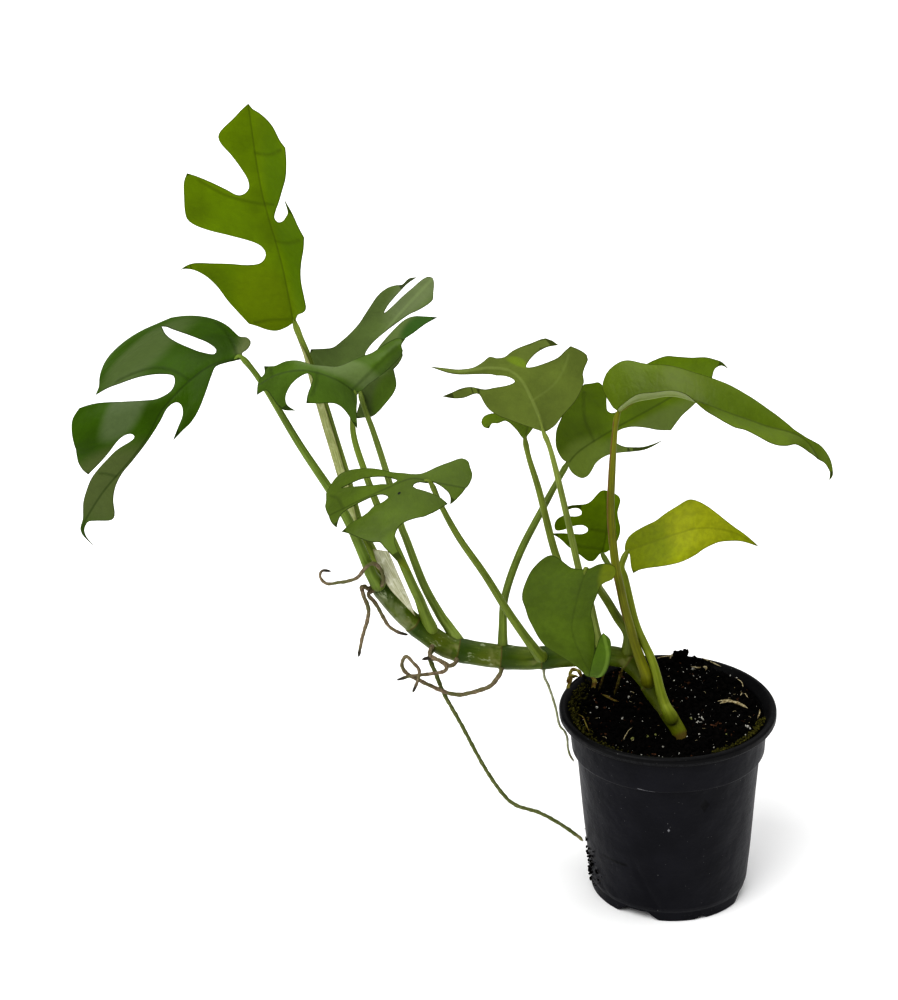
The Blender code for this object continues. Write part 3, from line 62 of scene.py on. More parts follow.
class Wire:
    """One socket of a material's nodes. Sums of wires and numbers add the nodes that work them out."""

    def __init__(self, tree, socket=None):
        self.tree = tree
        self.socket = socket

    def node(self, kind, settings, values, out=0):
        """Any node: its type, its settings, and the values or wires of its sockets."""
        made = self.tree.nodes.new(kind)
        for name, value in settings.items():
            setattr(made, name, value)
        for name, value in values.items():
            self.feed(made.inputs[name], value)
        return Wire(self.tree, made.outputs[out])

    def feed(self, end, value):
        if isinstance(value, Wire):
            self.tree.links.new(value.socket, end)
        elif hasattr(value, "__len__") and end.type == "RGBA":
            end.default_value = (*value[:3], 1.0)
        else:
            end.default_value = value

    def sum(self, kind, *terms):
        return self.node("ShaderNodeMath", {"operation": kind}, dict(enumerate(terms)))

    def __add__(self, other):
        return self.sum("ADD", self, other)

    def __radd__(self, other):
        return self.sum("ADD", other, self)

    def __sub__(self, other):
        return self.sum("SUBTRACT", self, other)

    def __rsub__(self, other):
        return self.sum("SUBTRACT", other, self)

    def __mul__(self, other):
        return self.sum("MULTIPLY", self, other)

    def __rmul__(self, other):
        return self.sum("MULTIPLY", other, self)

    def __truediv__(self, other):
        return self.sum("DIVIDE", self, other)

    def __abs__(self):
        return self.sum("ABSOLUTE", self)

    def step(self, low, high):
        """0 below low, 1 above high, and a soft rise between; a fall where low is the larger."""
        if low < high:
            return self.node(
                "ShaderNodeMapRange", {"interpolation_type": "SMOOTHSTEP"},
                {"Value": self, "From Min": low, "From Max": high},
            )
        return 1 - self.step(high, low)

    def vector(self, kind, other, out=0):
        """A vector sum; a plain number stands for the same number on all three axes."""
        other = other if isinstance(other, Wire) or hasattr(other, "__len__") else (other,) * 3
        return self.node("ShaderNodeVectorMath", {"operation": kind}, {0: self, 1: other}, out)

    def axis(self, k):
        return self.node("ShaderNodeSeparateXYZ", {}, {0: self}, k)

    def blend(self, low, high):
        """The first colour where this wire is 0, the second where it is 1."""
        return self.node("ShaderNodeMix", {"data_type": "RGBA"}, {0: self, 6: low, 7: high}, 2)

    def shade(self, amount):
        """This colour made lighter or darker by a factor."""
        return self.node("ShaderNodeVectorMath", {"operation": "SCALE"}, {0: self, "Scale": amount})

    def noise(self, scale, detail=3.0, rough=0.5):
        """Soft mottling; scale is in waves to the unit of this wire."""
        return self.node(
            "ShaderNodeTexNoise", {}, {"Vector": self, "Scale": scale, "Detail": detail, "Roughness": rough}
        )

    def cells(self, scale, out=0):
        """Distance from the nearest of many scattered points; out 1 is a random colour for each."""
        return self.node("ShaderNodeTexVoronoi", {}, {"Vector": self, "Scale": scale, "Randomness": 1.0}, out)

    def spots(self, scale, size, share):
        """Round spots, scattered, on the given share of the points."""
        chosen = self.cells(scale, 1).axis(0).step(1 - share, 1.001 - share)
        return self.cells(scale).step(size, size * 0.5) * chosen

    def bump(self, height, depth_mm, under=None):
        """Low relief of the height, on top of the relief under it."""
        values = {"Height": height, "Distance": depth_mm * MM, "Strength": 1.0}
        if under is not None:
            values["Normal"] = under
        return self.node("ShaderNodeBump", {}, values)


def new_look(name):
    """A named material with an empty Principled shader, and a wire to start its nodes from."""
    made = bpy.data.materials.new(name)
    made.use_nodes = True
    return made, Wire(made.node_tree)


def dress(look, **sockets):
    """Feeds the Principled shader: a wire where the surface changes, a number where it doesn't."""
    shader = look.node_tree.nodes["Principled BSDF"]
    for name, value in sockets.items():
        Wire(look.node_tree).feed(shader.inputs[name.replace("_", " ")], value)
    return look


def piece(name, points, faces, look, smooth=True, angle=50):
    """A mesh object from millimetre points, smooth but for the creases sharper than the angle."""
    mesh = bpy.data.meshes.new(name)
    corners = (np.asarray(points, float) * MM).tolist()
    mesh.from_pydata(corners, [], [tuple(int(k) for k in f) for f in faces])
    mesh.validate()
    mesh.update()
    mesh.materials.append(look)
    if smooth:
        mesh.polygons.foreach_set("use_smooth", [True] * len(mesh.polygons))
        mesh.set_sharp_from_angle(angle=math.radians(angle))
    body = bpy.data.objects.new(name, mesh)
    bpy.context.scene.collection.objects.link(body)
    return body


def note(body, name, values):
    """A number, or a vector of three, kept on every point of the mesh for its material to read."""
    values = np.asarray(values, float)
    kind = "FLOAT" if values.ndim == 1 else "FLOAT_VECTOR"
    layer = body.data.attributes.new(name, kind, "POINT")
    layer.data.foreach_set("value" if values.ndim == 1 else "vector", values.ravel())


def read(start, name, out="Fac"):
    return start.node("ShaderNodeAttribute", {"attribute_name": name}, {}, out)


floor_look, start = new_look("floor_white")
speck = read(start, "place", "Vector").noise(9.0, 2.0)
dress(floor_look, Base_Color=speck.blend((0.90, 0.90, 0.90), (0.93, 0.93, 0.93)), Roughness=0.9)
FLOOR_REACH = 6000.0
corners = [(x * FLOOR_REACH, y * FLOOR_REACH, 0.0) for x, y in ((-1, -1), (1, -1), (1, 1), (-1, 1))]
floor = piece("floor", corners, [(0, 1, 2, 3)], floor_look, False)
note(floor, "place", np.array(corners) * MM)

studio = bpy.data.worlds.new("studio")
bpy.context.scene.world = studio
studio.use_nodes = True
studio.node_tree.nodes["Background"].inputs["Color"].default_value = (1.0, 1.0, 1.0, 1.0)
studio.node_tree.nodes["Background"].inputs["Strength"].default_value = 0.32
bpy.context.scene.view_settings.view_transform = "Standard"
bpy.context.scene.view_settings.look = "High Contrast"


def soft_light(name, way, spread, power):
    """A wide soft light far off, shining from the side given: it lights plant and floor alike."""
    lamp = bpy.data.objects.new(name, bpy.data.lights.new(name, "SUN"))
    lamp.data.angle = math.radians(spread)
    lamp.data.energy = power
    lamp.rotation_euler = (-Vector(way)).to_track_quat("-Z", "Y").to_euler()
    bpy.context.scene.collection.objects.link(lamp)


soft_light("key_light", (-0.62, -0.60, 1.0), 50, 1.9)
soft_light("top_light", (0.35, 0.25, 1.0), 80, 1.25)


# Nursery pot: one thin shell of black polypropylene, injection moulded, with a rolled lip, a stepped band
# under it, a notched foot ring and drain holes; handling has creased and dusted it.
LIP_R, POT_HEIGHT, LIP_INNER_R, LIP_HEIGHT = 52.5, 96.5, 49.8, 4.0
BAND_Z, BAND_R, BAND_STEP, UNDER_LIP_R = 75.5, 46.8, 2.2, 48.0
WALL_FOOT_R, FOOT_R, FOOT_WIDTH, FOOT_HEIGHT, WALL = 38.9, 37.9, 3.9, 4.8, 1.3
FLOOR_TOP, FLOOR_UNDER, BOSS_R = 4.5, 2.5, 12.0
NOTCHES = [(math.radians(a), 22.5, 4.2) for a in (-117.5, -17.5, 62.5, 162.5)]
NOTCHES += [(math.radians(a), 6.5, 1.9) for a in (-68.5, 111.5)]
DRAINS, DRAIN_R, DRAIN_RING_R, DRAIN_TURN = 6, 4.0, 21.0, math.radians(-5)
POT_LEAN, BACK_LIFT, RIGHT_LIFT = 2.9, 2.4, 1.6
CREASE_HEIGHTS, CREASE_PLACES = (6, 14, 23, 31), (-6.5, -10.8, -15.0, -18.6)
DIMPLE_X, DIMPLE_Z = 16.0, 66.0
POT_SIDES, DRAIN_SIDES = 240, 24


def lean(points):
    """The thin pot is pushed out of true: foot a little to the right, rim up at its back and right."""
    points = np.array(points, float)
    x, y, z = points.T.copy()
    lift = BACK_LIFT * (1 + y / LIP_R) / 2 + RIGHT_LIFT * (1 + x / LIP_R) / 2
    points[:, 0] += POT_LEAN * (1 - z / POT_HEIGHT)
    points[:, 2] += lift * (z / POT_HEIGHT) ** 2
    return points


def rounded(profile, radius=0.35, steps=3):
    """The profile with its corners turned into short arcs."""
    made = [profile[0]]
    for before, here, after in zip(profile, profile[1:], profile[2:]):
        a, b, c = np.array(before, float), np.array(here, float), np.array(after, float)
        to_a, to_c = np.linalg.norm(a - b), np.linalg.norm(c - b)
        back = min(radius, 0.4 * to_a, 0.4 * to_c)
        p, q = b + (a - b) * back / to_a, b + (c - b) * back / to_c
        for k in range(steps + 1):
            f = k / steps
            made.append(tuple(p * (1 - f) ** 2 + 2 * b * f * (1 - f) + q * f**2))
    return made + [profile[-1]]


LIP_UNDER = POT_HEIGHT - LIP_HEIGHT
POT_PROFILE = [
    (WALL_FOOT_R - WALL - 0.8, FLOOR_TOP), (WALL_FOOT_R - WALL + 0.2, FLOOR_TOP + 1.5),
    (BAND_R - BAND_STEP - WALL, BAND_Z - 1.2), (BAND_R - WALL, BAND_Z + 1.5),
    (UNDER_LIP_R - WALL, LIP_UNDER + 0.5),
    (LIP_INNER_R - 0.3, POT_HEIGHT - 0.5), (LIP_INNER_R + 0.3, POT_HEIGHT), (LIP_R - 0.9, POT_HEIGHT),
    (LIP_R, POT_HEIGHT - 0.9), (LIP_R, LIP_UNDER + 0.5), (LIP_R - 0.5, LIP_UNDER), (UNDER_LIP_R, LIP_UNDER),
    (BAND_R, BAND_Z + 0.8), (BAND_R - 0.4, BAND_Z), (BAND_R - BAND_STEP, BAND_Z - 0.3),
    (WALL_FOOT_R, FOOT_HEIGHT + 2.6), (FOOT_R, FOOT_HEIGHT), (FOOT_R, 0.5), (FOOT_R - 0.5, 0.0),
    (FOOT_R - FOOT_WIDTH, 0.0), (FOOT_R - FOOT_WIDTH, FLOOR_UNDER),
]


def extra_rows(profile, longest=3.0):
    """The profile with rows added, so that none of its sides is much longer than the limit."""
    made = []
    for a, b in zip(profile, profile[1:]):
        parts = max(1, int(math.hypot(b[0] - a[0], b[1] - a[1]) / longest))
        made += [(a[0] + (b[0] - a[0]) * k / parts, a[1] + (b[1] - a[1]) * k / parts) for k in range(parts)]
    return made + [profile[-1]]


def dents(points):
    """Slow waves of the thin wall and lip, and the crease at the lower left of its front."""
    x, y, z = points.T
    angle = np.arctan2(y, x)
    radius = np.hypot(x, y)
    body = np.clip(z / 20, 0, 1)
    push = 0.18 * np.sin(3 * angle + 0.6 + z * 0.03) + 0.10 * np.sin(7 * angle + z * 0.11)
    push *= body * np.clip((POT_HEIGHT - z) / 12, 0.35, 1)
    front = y < 0
    line = np.interp(z, CREASE_HEIGHTS, CREASE_PLACES)
    crease = np.exp(-(((x - line) / 1.1) ** 2)) * np.clip((z - 5) / 3, 0, 1) * np.clip((33 - z) / 4, 0, 1)
    push -= 0.8 * crease * front
    left = np.exp(-(((angle + 2.62) / 0.35) ** 2)) * np.exp(-(((z - 14) / 11) ** 2))
    push -= left * (0.7 + 0.5 * np.sin(z * 0.7) * np.sin(angle * 23))
    dent = np.exp(-((x - DIMPLE_X) / 3) ** 2 - ((z - DIMPLE_Z) / 5) ** 2) * front
    push -= 0.6 * dent
    scale = 1 + push / np.maximum(radius, 1.0)
    return np.stack([x * scale, y * scale, z], 1)


def circle(radius, sides, middle=(0.0, 0.0)):
    """Flat points evenly round a circle."""
    turns = np.linspace(0, 2 * math.pi, sides, endpoint=False)
    return [(middle[0] + radius * math.cos(a), middle[1] + radius * math.sin(a)) for a in turns]


def raised(flat, z):
    """Flat points lifted to one height."""
    return [(x, y, z) for x, y in flat]


def wall_faces(rings, sides, first=0, flipped=False):
    """Four-sided faces between closed rings of points that follow each other."""
    faces = []
    for n in range(rings - 1):
        a = first + n * sides
        b = a + sides
        for k in range(sides):
            m = (k + 1) % sides
            faces.append((a + k, a + m, b + m, b + k) if flipped else (a + k, b + k, b + m, a + m))
    return faces


def joined(parts):
    """Several lots of points and faces as one."""
    points, faces, base = [], [], 0
    for some, their in parts:
        points.append(np.asarray(some, float))
        faces += [tuple(int(k) + base for k in f) for f in their]
        base += len(some)
    return np.concatenate(points), faces


def triangles(loops, lines, loose):
    """Flat points and triangles that keep the sides of closed loops and open lines, and use loose points."""
    points, edges = [], []
    for ways, open_end in ((loops, 0), (lines, 1)):
        for way in ways:
            base, count = len(points), len(way)
            edges += [(base + k, base + (k + 1) % count) for k in range(count - open_end)]
            points += [tuple(p) for p in way]
    points += [tuple(p) for p in loose]
    made, _, faces, _, _, _ = delaunay_2d_cdt([Vector(p) for p in points], edges, [], 0, 1e-5)
    return np.array([tuple(p) for p in made]), np.array([tuple(f) for f in faces])


DRAIN_MIDDLES = [
    (DRAIN_RING_R * math.cos(a), DRAIN_RING_R * math.sin(a))
    for a in (2 * math.pi * k / DRAINS + DRAIN_TURN for k in range(DRAINS))
]


def floor_sheet(outer, z):
    """One face of the pot's floor: a round sheet with its drain holes left open."""
    holes = [circle(DRAIN_R, DRAIN_SIDES, middle) for middle in DRAIN_MIDDLES]
    flat, faces = triangles([circle(outer, POT_SIDES)] + holes, [], [(0.0, 0.0)])
    centre = flat[faces].mean(1)
    keep = np.hypot(*centre.T) < outer
    for x, y in DRAIN_MIDDLES:
        keep &= np.hypot(centre[:, 0] - x, centre[:, 1] - y) > DRAIN_R
    return raised(flat, z), faces[keep]


# The shell follows its profile round, with the notches cut up into its foot ring
rows = extra_rows(rounded(POT_PROFILE))
shell = np.array([raised(circle(r, POT_SIDES), z) for r, z in rows])
for middle, width, tall in NOTCHES:
    half = math.asin(width / 2 / FOOT_R)
    for n, a in enumerate(np.linspace(0, 2 * math.pi, POT_SIDES, endpoint=False)):
        inside_by = half - abs((a - middle + math.pi) % (2 * math.pi) - math.pi)
        if inside_by > 0:
            low = shell[:, n, 2] < tall
            shell[low, n, 2] = np.maximum(shell[low, n, 2], min(tall, inside_by * FOOT_R * 0.75))

# The floor's two faces, the walls of its drain holes, and the boss on its underside
low_points, low_faces = floor_sheet(FOOT_R - FOOT_WIDTH, FLOOR_UNDER)
drains = []
for middle in DRAIN_MIDDLES:
    hole = circle(DRAIN_R, DRAIN_SIDES, middle)
    drains.append((raised(hole, FLOOR_UNDER) + raised(hole, FLOOR_TOP), wall_faces(2, DRAIN_SIDES)))
boss_foot = tuple(range(POT_SIDES, 2 * POT_SIDES))[::-1]
boss_points = raised(circle(BOSS_R + 0.5, POT_SIDES), FLOOR_UNDER) + raised(circle(BOSS_R, POT_SIDES), 0.0)
boss = boss_points, wall_faces(2, POT_SIDES) + [boss_foot]
pot_points, pot_faces = joined([
    (dents(shell.reshape(-1, 3)), wall_faces(len(rows), POT_SIDES)), floor_sheet(rows[0][0], FLOOR_TOP),
    (low_points, low_faces[:, ::-1]), *drains, boss,
])


def millimetres(start):
    """The place on the piece, in millimetres, as a wire."""
    return start.node("ShaderNodeTexCoord", {}, {}, "Object").vector("MULTIPLY", 1000.0)


pot_look, start = new_look("black_plastic")
place = millimetres(start)
across, deep, height = (place.axis(k) for k in range(3))
mottle = place.noise(0.05, 4.0)
grain = place.noise(1.6, 4.0, 0.7)
scuff = place.vector("MULTIPLY", (0.25, 0.25, 1.6)).noise(0.5, 5.0, 0.7)
black = mottle.step(0.3, 0.7).blend((0.0062, 0.0062, 0.0092), (0.0102, 0.0102, 0.0142))
black = height.step(89.0, 93.5).blend(black, (0.0045, 0.0044, 0.0050))
black = (scuff.step(0.58, 0.80) * 0.8).blend(black, (0.018, 0.018, 0.021))
# Painted highlights: pale lines along the lip's outer face, the band's step and the top of the foot, broken
# up by the grain
rim_highlight = abs(height - 94.9 + mottle * 1.2).step(0.8, 0.2) * grain.step(0.3, 0.6) * 0.45
edge_highlights = rim_highlight + abs(height - 75.9).step(0.5, 0.1) * 0.6 + abs(height - 5.4).step(0.9, 0.1) * 0.4
black = (edge_highlights * grain.step(0.25, 0.6)).blend(black, (0.045, 0.046, 0.050))
front = deep.step(0.0, -8.0)
# Painted shade: a dark line along the top of the crease on the front's lower left, and a dark spot in the
# dimple
crease_painted_shade = abs(height - 30.5 - across * 0.05).step(1.2, 0.3) * abs(across + 25.5).step(7.0, 4.5)
dimple_painted_shade = (abs(across - DIMPLE_X) * 0.42 + abs(height - DIMPLE_Z) * 0.26).step(1.2, 0.8)
black = (crease_painted_shade.sum("MAXIMUM", crease_painted_shade, dimple_painted_shade) * front * 0.85).blend(black, (0.0012, 0.0012, 0.0020))
scratch = abs(height - 76.6 + (across + 12.5) * 0.10).step(0.32, 0.05)
scratch = scratch * abs(across + 12.5).step(4.6, 3.6) * grain.step(0.42, 0.5)
nick = (abs(across + 1.0) + abs(height - 53.6) * 0.7).step(0.9, 0.4)
black = ((scratch + nick) * front * 0.8).blend(black, (0.24, 0.24, 0.25))
dusty = place.spots(0.11, 0.035, 0.5) + place.spots(0.23, 0.07, 0.25) + place.spots(0.6, 0.12, 0.10)
black = (dusty * 0.75).blend(black, (0.17, 0.17, 0.16))
low_dust = place.spots(0.9, 0.25, 0.5) * height.step(9.0, 3.0) * abs(across - 18.0).step(14.0, 4.0)
black = (low_dust * 0.6).blend(black, (0.10, 0.10, 0.095))
crumbs = place.cells(0.55).step(0.34, 0.16) * across.step(-26.0, -34.0) * height.step(36.0, 14.0)
black = (crumbs * 0.8).blend(black, (0.022, 0.016, 0.011))
gloss = 0.36 + scuff * 0.16 + dusty * 0.3
bumps = start.bump(place.noise(0.09, 3.0), 0.9)
bumps = start.bump(grain, 0.05, bumps)
dress(pot_look, Base_Color=black, Roughness=gloss, Normal=bumps, Specular_IOR_Level=0.14)
pot = piece("nursery_pot", lean(pot_points), pot_faces, pot_look, angle=32)
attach(pot, "root")
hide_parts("pot")


# Soil: a moist black mix of peat, coir and bark, filled to a finger's breadth below the lip and heaped
# at the back, with grains of perlite, dry bark and husk, loose rootlets, and moss along the wall.
SOIL_LEVEL, SOIL_RISE, SOIL_R, SOIL_UNDER = 89.5, 6.0, 46.3, 4.9
SPOKES, SOIL_RINGS = 200, 45
draw = random.Random(11)


def soil_side(z):
    """Inside of the wall round the soil."""
    heights = [6.0, BAND_Z - 1.3, BAND_Z + 2.2, LIP_UNDER + 0.5]
    outer = [WALL_FOOT_R, BAND_R - BAND_STEP, BAND_R, UNDER_LIP_R]
    return np.interp(z, heights, [radius - WALL for radius in outer])


def soil_top(x, y):
    """Height of the soil's surface before the pot's lean: heaped to the back, and over the rim there."""
    share = np.clip(np.hypot(x, y) / SOIL_R, 0, 1)
    sine = y / np.maximum(np.hypot(x, y), 1e-6)
    z = SOIL_LEVEL + SOIL_RISE * share * sine * np.where(sine > 0, 1.0, 0.3) + 1.5 * (1 - share)
    z += 2.2 * np.exp(-(((x - 8) / 18) ** 2)) * np.exp(-(((y - 44) / 10) ** 2))
    z += 0.7 * np.sin(x * 0.23 + 1.3) * np.cos(y * 0.19) + 0.45 * np.sin(x * 0.61 - y * 0.43)
    z += 0.30 * np.sin(x * 1.7 + y * 0.9) * np.sin(y * 1.9 - x * 0.5)
    return z


bed = [(0.0, 0.0, float(soil_top(0.0, 0.001)))]
for share in np.linspace(0.0, 1.0, SOIL_RINGS + 1)[1:]:
    for x, y in circle(SOIL_R * share, SPOKES):
        bed.append((x, y, float(soil_top(x, y)) + draw.uniform(-0.45, 0.45)))
lower_rows = ((BAND_Z + 2.6, 0.2), (BAND_Z - 1.7, 0.2), (12.0, 0.2), (SOIL_UNDER, 1.4))
for z, clear in lower_rows:
    bed += raised(circle(float(soil_side(z)) - clear, SPOKES), z)
bed.append((0.0, 0.0, SOIL_UNDER))
bed_rings = SOIL_RINGS + len(lower_rows)
last = 1 + (bed_rings - 1) * SPOKES
bed_faces = [(0, 1 + k, 1 + (k + 1) % SPOKES) for k in range(SPOKES)]
bed_faces += wall_faces(bed_rings, SPOKES, 1)
bed_faces += [(last + k, len(bed) - 1, last + (k + 1) % SPOKES) for k in range(SPOKES)]


def ball(rings=1):
    """A round lump's points and triangles: an icosahedron, split once for each ring."""
    t = (1 + math.sqrt(5)) / 2
    points = [
        (-1, t, 0), (1, t, 0), (-1, -t, 0), (1, -t, 0), (0, -1, t), (0, 1, t), (0, -1, -t), (0, 1, -t),
        (t, 0, -1), (t, 0, 1), (-t, 0, -1), (-t, 0, 1),
    ]
    faces = [
        (0, 11, 5), (0, 5, 1), (0, 1, 7), (0, 7, 10), (0, 10, 11), (1, 5, 9), (5, 11, 4), (11, 10, 2),
        (10, 7, 6), (7, 1, 8), (3, 9, 4), (3, 4, 2), (3, 2, 6), (3, 6, 8), (3, 8, 9), (4, 9, 5), (2, 4, 11),
        (6, 2, 10), (8, 6, 7), (9, 8, 1),
    ]
    for _ in range(rings):
        halves, split = {}, []
        for f in faces:
            mid = []
            for a, b in ((f[0], f[1]), (f[1], f[2]), (f[2], f[0])):
                key = (min(a, b), max(a, b))
                if key not in halves:
                    halves[key] = len(points)
                    points.append(tuple((np.array(points[a]) + np.array(points[b])) / 2))
                mid.append(halves[key])
            split += [(f[0], mid[0], mid[2]), (f[1], mid[1], mid[0]), (f[2], mid[2], mid[1]), tuple(mid)]
        faces = split
    rows = np.array(points, float)
    return rows / np.linalg.norm(rows, axis=1)[:, None], faces


def lumps(spots, sizes, rings=1, rough=0.25, flat=1.0):
    """Many small rough lumps, each turned its own way, as one lot of points and faces."""
    base, base_faces = ball(rings)
    parts = []
    for spot, size in zip(spots, sizes):
        turn = np.linalg.qr(np.array([[draw.gauss(0, 1) for _ in range(3)] for _ in range(3)]))[0]
        stretch = np.array([draw.uniform(0.75, 1.35), draw.uniform(0.7, 1.2), draw.uniform(0.6, 1.0) * flat])
        wave = 1 + rough * np.array([draw.uniform(-1, 1) for _ in range(len(base))])
        parts.append(((base * stretch * wave[:, None] * size) @ turn.T + np.array(spot), base_faces))
    return joined(parts)


def scattered(count, near=0.0, far=45.5, wedge=(0, 2 * math.pi), sink=0.25):
    """Places spread evenly over the soil, between two distances from its middle."""
    spots = []
    for _ in range(count):
        a = draw.uniform(*wedge)
        r = math.sqrt(draw.uniform(near**2, far**2))
        x, y = r * math.cos(a), r * math.sin(a)
        spots.append((x, y, float(soil_top(x, y)) + sink))
    return spots


def run_of(line):
    """How far each point of a line lies along it."""
    return np.concatenate([[0], np.cumsum(np.linalg.norm(np.diff(line, axis=0), axis=1))])


def between(at, run, rows):
    """The rows of a table that was measured at run, read off at other places."""
    return np.stack([np.interp(at, run, column) for column in np.asarray(rows, float).T], 1)


def unit(ways):
    return ways / np.linalg.norm(ways, axis=-1, keepdims=True)


def thread(line, radius, sides=6, step=0.6):
    """A thin root, peel or splinter along given points, with pointed ends, as points and faces."""
    run = run_of(line)
    fine = between(np.linspace(0, run[-1], max(4, int(run[-1] / step))), run, line)
    for _ in range(4):
        fine[1:-1] = (fine[:-2] + 2 * fine[1:-1] + fine[2:]) / 4
    heading = np.gradient(fine, axis=0)
    side = unit(np.cross(heading, (0.13, 0.2, 1.0)))
    over = unit(np.cross(heading, side))
    share = np.linspace(0, 1, len(fine))
    wide = radius * np.clip(np.minimum(share, 1 - share) * 6, 0.25, 1) * (1 + 0.15 * np.sin(share * 23))
    points = []
    for n in range(len(fine)):
        points += [fine[n] + wide[n] * (x * side[n] + 0.7 * y * over[n]) for x, y in circle(1.0, sides)]
    ends = [tuple(range(sides))[::-1], tuple(range(len(points) - sides, len(points)))]
    return points, wall_faces(len(fine), sides, flipped=True) + ends


def soil_piece(name, lot, look):
    """A lot of points and faces as a piece of the soil, leaning with the pot."""
    made = piece(name, lean(lot[0]), lot[1], look, angle=60)
    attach(made, "root")
    return made


def crumb_look(name, dark, light, scale, rough=0.9, deep=0.3):
    """Dry or crumbly stuff in two mixed tints."""
    made, start = new_look(name)
    place = millimetres(start)
    tint = place.noise(scale, 3.0, 0.6)
    dress(
        made, Base_Color=tint.step(0.35, 0.68).blend(dark, light), Roughness=rough + (tint - 0.5) * 0.1,
        Normal=start.bump(place.noise(scale * 6, 3.0), deep), Specular_IOR_Level=0.06,
    )
    return made


peat_look = crumb_look("black_peat", (0.0011, 0.0010, 0.0010), (0.0062, 0.0048, 0.0040), 0.55)
clods = lumps(scattered(700), [draw.uniform(0.7, 1.8) for _ in range(700)], 1, 0.28)
grit = lumps(scattered(2600, sink=0.4), [draw.uniform(0.25, 0.7) for _ in range(2600)], 0, 0.3)
heap = [(10 + draw.gauss(0, 1.8), 44 + draw.gauss(0, 1.2), 98.2 + draw.uniform(-0.5, 3.2)) for _ in range(70)]
heap += [
    (5 + draw.gauss(0, 7), 43.5 + draw.uniform(-3, 1), 97.6 + draw.uniform(-0.6, 0.5)) for _ in range(130)
]
back = lumps(heap, [draw.uniform(0.5, 1.3) for _ in heap], 1, 0.35)
soil = soil_piece("soil_bed", joined([(bed, bed_faces), clods, grit, back]), peat_look)
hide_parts("soil")

# Dirt stuck to the outside of the wall, low on its left
wall_slope = (BAND_R - BAND_STEP - WALL_FOOT_R) / (BAND_Z - 7.7)
stuck = []
for _ in range(90):
    z = 4 + abs(draw.gauss(8, 6))
    a = math.pi + draw.gauss(0.16, 0.2)
    r = WALL_FOOT_R + (z - 7.4) * wall_slope + 0.15
    stuck.append((r * math.cos(a), r * math.sin(a), z))
sizes = [draw.choice((0.2, 0.3, 0.4, 0.5, 0.75)) for _ in stuck]
soil_piece("stuck_dirt", lumps(stuck, sizes, 1, 0.35, 0.7), peat_look)

perlite_look = crumb_look("perlite", (0.30, 0.29, 0.25), (0.66, 0.65, 0.60), 1.2, 0.8)
cluster = [(14 + draw.uniform(-3.5, 3.5), -3 + draw.uniform(-4, 4)) for _ in range(12)]
seen = [
    (-35, 14), (-34, 7), (-30, 2), (-22, -2), (-28, 7), (3, 22), (5, 28), (-18, 28), (-17, 19), (-18, 15),
    (14, -18), (-4, -28), (-4, -32), (3, -34), (8, -20), (4, -18), (38, -11), (37, -9.5), (39, -11.5),
    (22, 5), (24, 5.5), (33, 33), (36, 31), (15, 38), (18, 36), (21, 38),
]
places = [(x, y, float(soil_top(x, y)) + 0.6) for x, y in cluster + seen]
sizes = [draw.uniform(0.35, 0.8) for _ in places]
more = scattered(200, 5, 45, sink=0.5)
more += scattered(40, 33, 45.5, (0.8, 2.0), 0.6)
sizes += [draw.choice((0.16, 0.2, 0.28, 0.4)) for _ in more]
soil_piece("perlite_grains", lumps(places + more, sizes, 1, 0.22), perlite_look)

olive_look = crumb_look("pale_olive_grain", (0.14, 0.15, 0.045), (0.30, 0.31, 0.13), 1.0, 0.7)
grains = [(-18.2, -20.2, 90.0), (-11, -18.8, 90.3), (-7, -17.3, 90.3), (27, -17, 90.0), (10.7, -4.4, 91.4)]
soil_piece("olive_grains", lumps(grains, [1.0, 1.15, 0.95, 0.6, 1.1], 2, 0.12), olive_look)

bark_look = crumb_look("dry_bark", (0.030, 0.012, 0.008), (0.13, 0.065, 0.032), 0.9, 0.8)
spots = scattered(110, 5, 45, sink=0.5)
chips = [
    (21.4, -9.5, 90.8), (23, -8.5, 90.8), (24.9, -7.6, 90.7), (26.8, -13.8, 90.3), (-15.3, 6.5, 92.2),
    (-12.3, 8.8, 92.6),
]
chip_sizes = [1.3, 1.2, 0.9, 0.8, 1.1, 1.1] + [draw.uniform(0.35, 1.0) for _ in spots]
soil_piece("bark_chips", lumps(chips + spots, chip_sizes, 1, 0.25, 0.35), bark_look)

# Pale husks, peels and rootlets that lie on the soil, each along listed points
husk_look = crumb_look("pale_husk", (0.16, 0.125, 0.060), (0.46, 0.41, 0.27), 0.7, 0.75)
husks = [
    ([(25.8, 9.0, 92.3), (30.3, 10.5, 92.9), (35, 8.5, 92.5), (39.3, 5.2, 91.6)], 1.15),
    ([(25, 11.5, 92.2), (31, 12.5, 92.6)], 0.5),
    ([(-22.8, -21.6, 90.2), (-21.4, -18.2, 90.6), (-19.8, -14, 90.9), (-17.7, -10.6, 90.8)], 0.32),
    ([(3.8, 41.8, 98), (4.4, 45, 99.6), (7.5, 46, 99.8), (8.8, 42.4, 98)], 0.45),
    ([(14, 38.5, 96.8), (18, 36.5, 96.8), (22, 38.5, 96.8), (21, 35.5, 96)], 0.6),
    ([(35.2, 30.5, 94.6), (38.3, 26.3, 94.4), (38.5, 22.2, 93.4)], 0.38),
    ([(36.5, 15.5, 92.9), (38.3, 19.7, 93.4), (40.2, 14, 92.4)], 0.42),
    ([(43.2, -3.3, 90.8), (44.8, 1, 91.6), (45, 4.5, 91.4)], 0.4),
    ([(-2.9, 44.5, 98.2), (2, 45.2, 98.9), (7, 45.4, 98.9)], 0.5),
    ([(-17, 20, 93.6), (-15, 17.5, 94.2), (-17.5, 14.5, 93.2)], 0.4),
    ([(-18, 12, 92.6), (-15.8, 9.5, 92.6)], 0.35),
    ([(20, 44.5, 98), (25, 41.5, 97), (29, 39, 96.2)], 0.5),
]
soil_piece("pale_husks", joined([thread(*h) for h in husks]), husk_look)

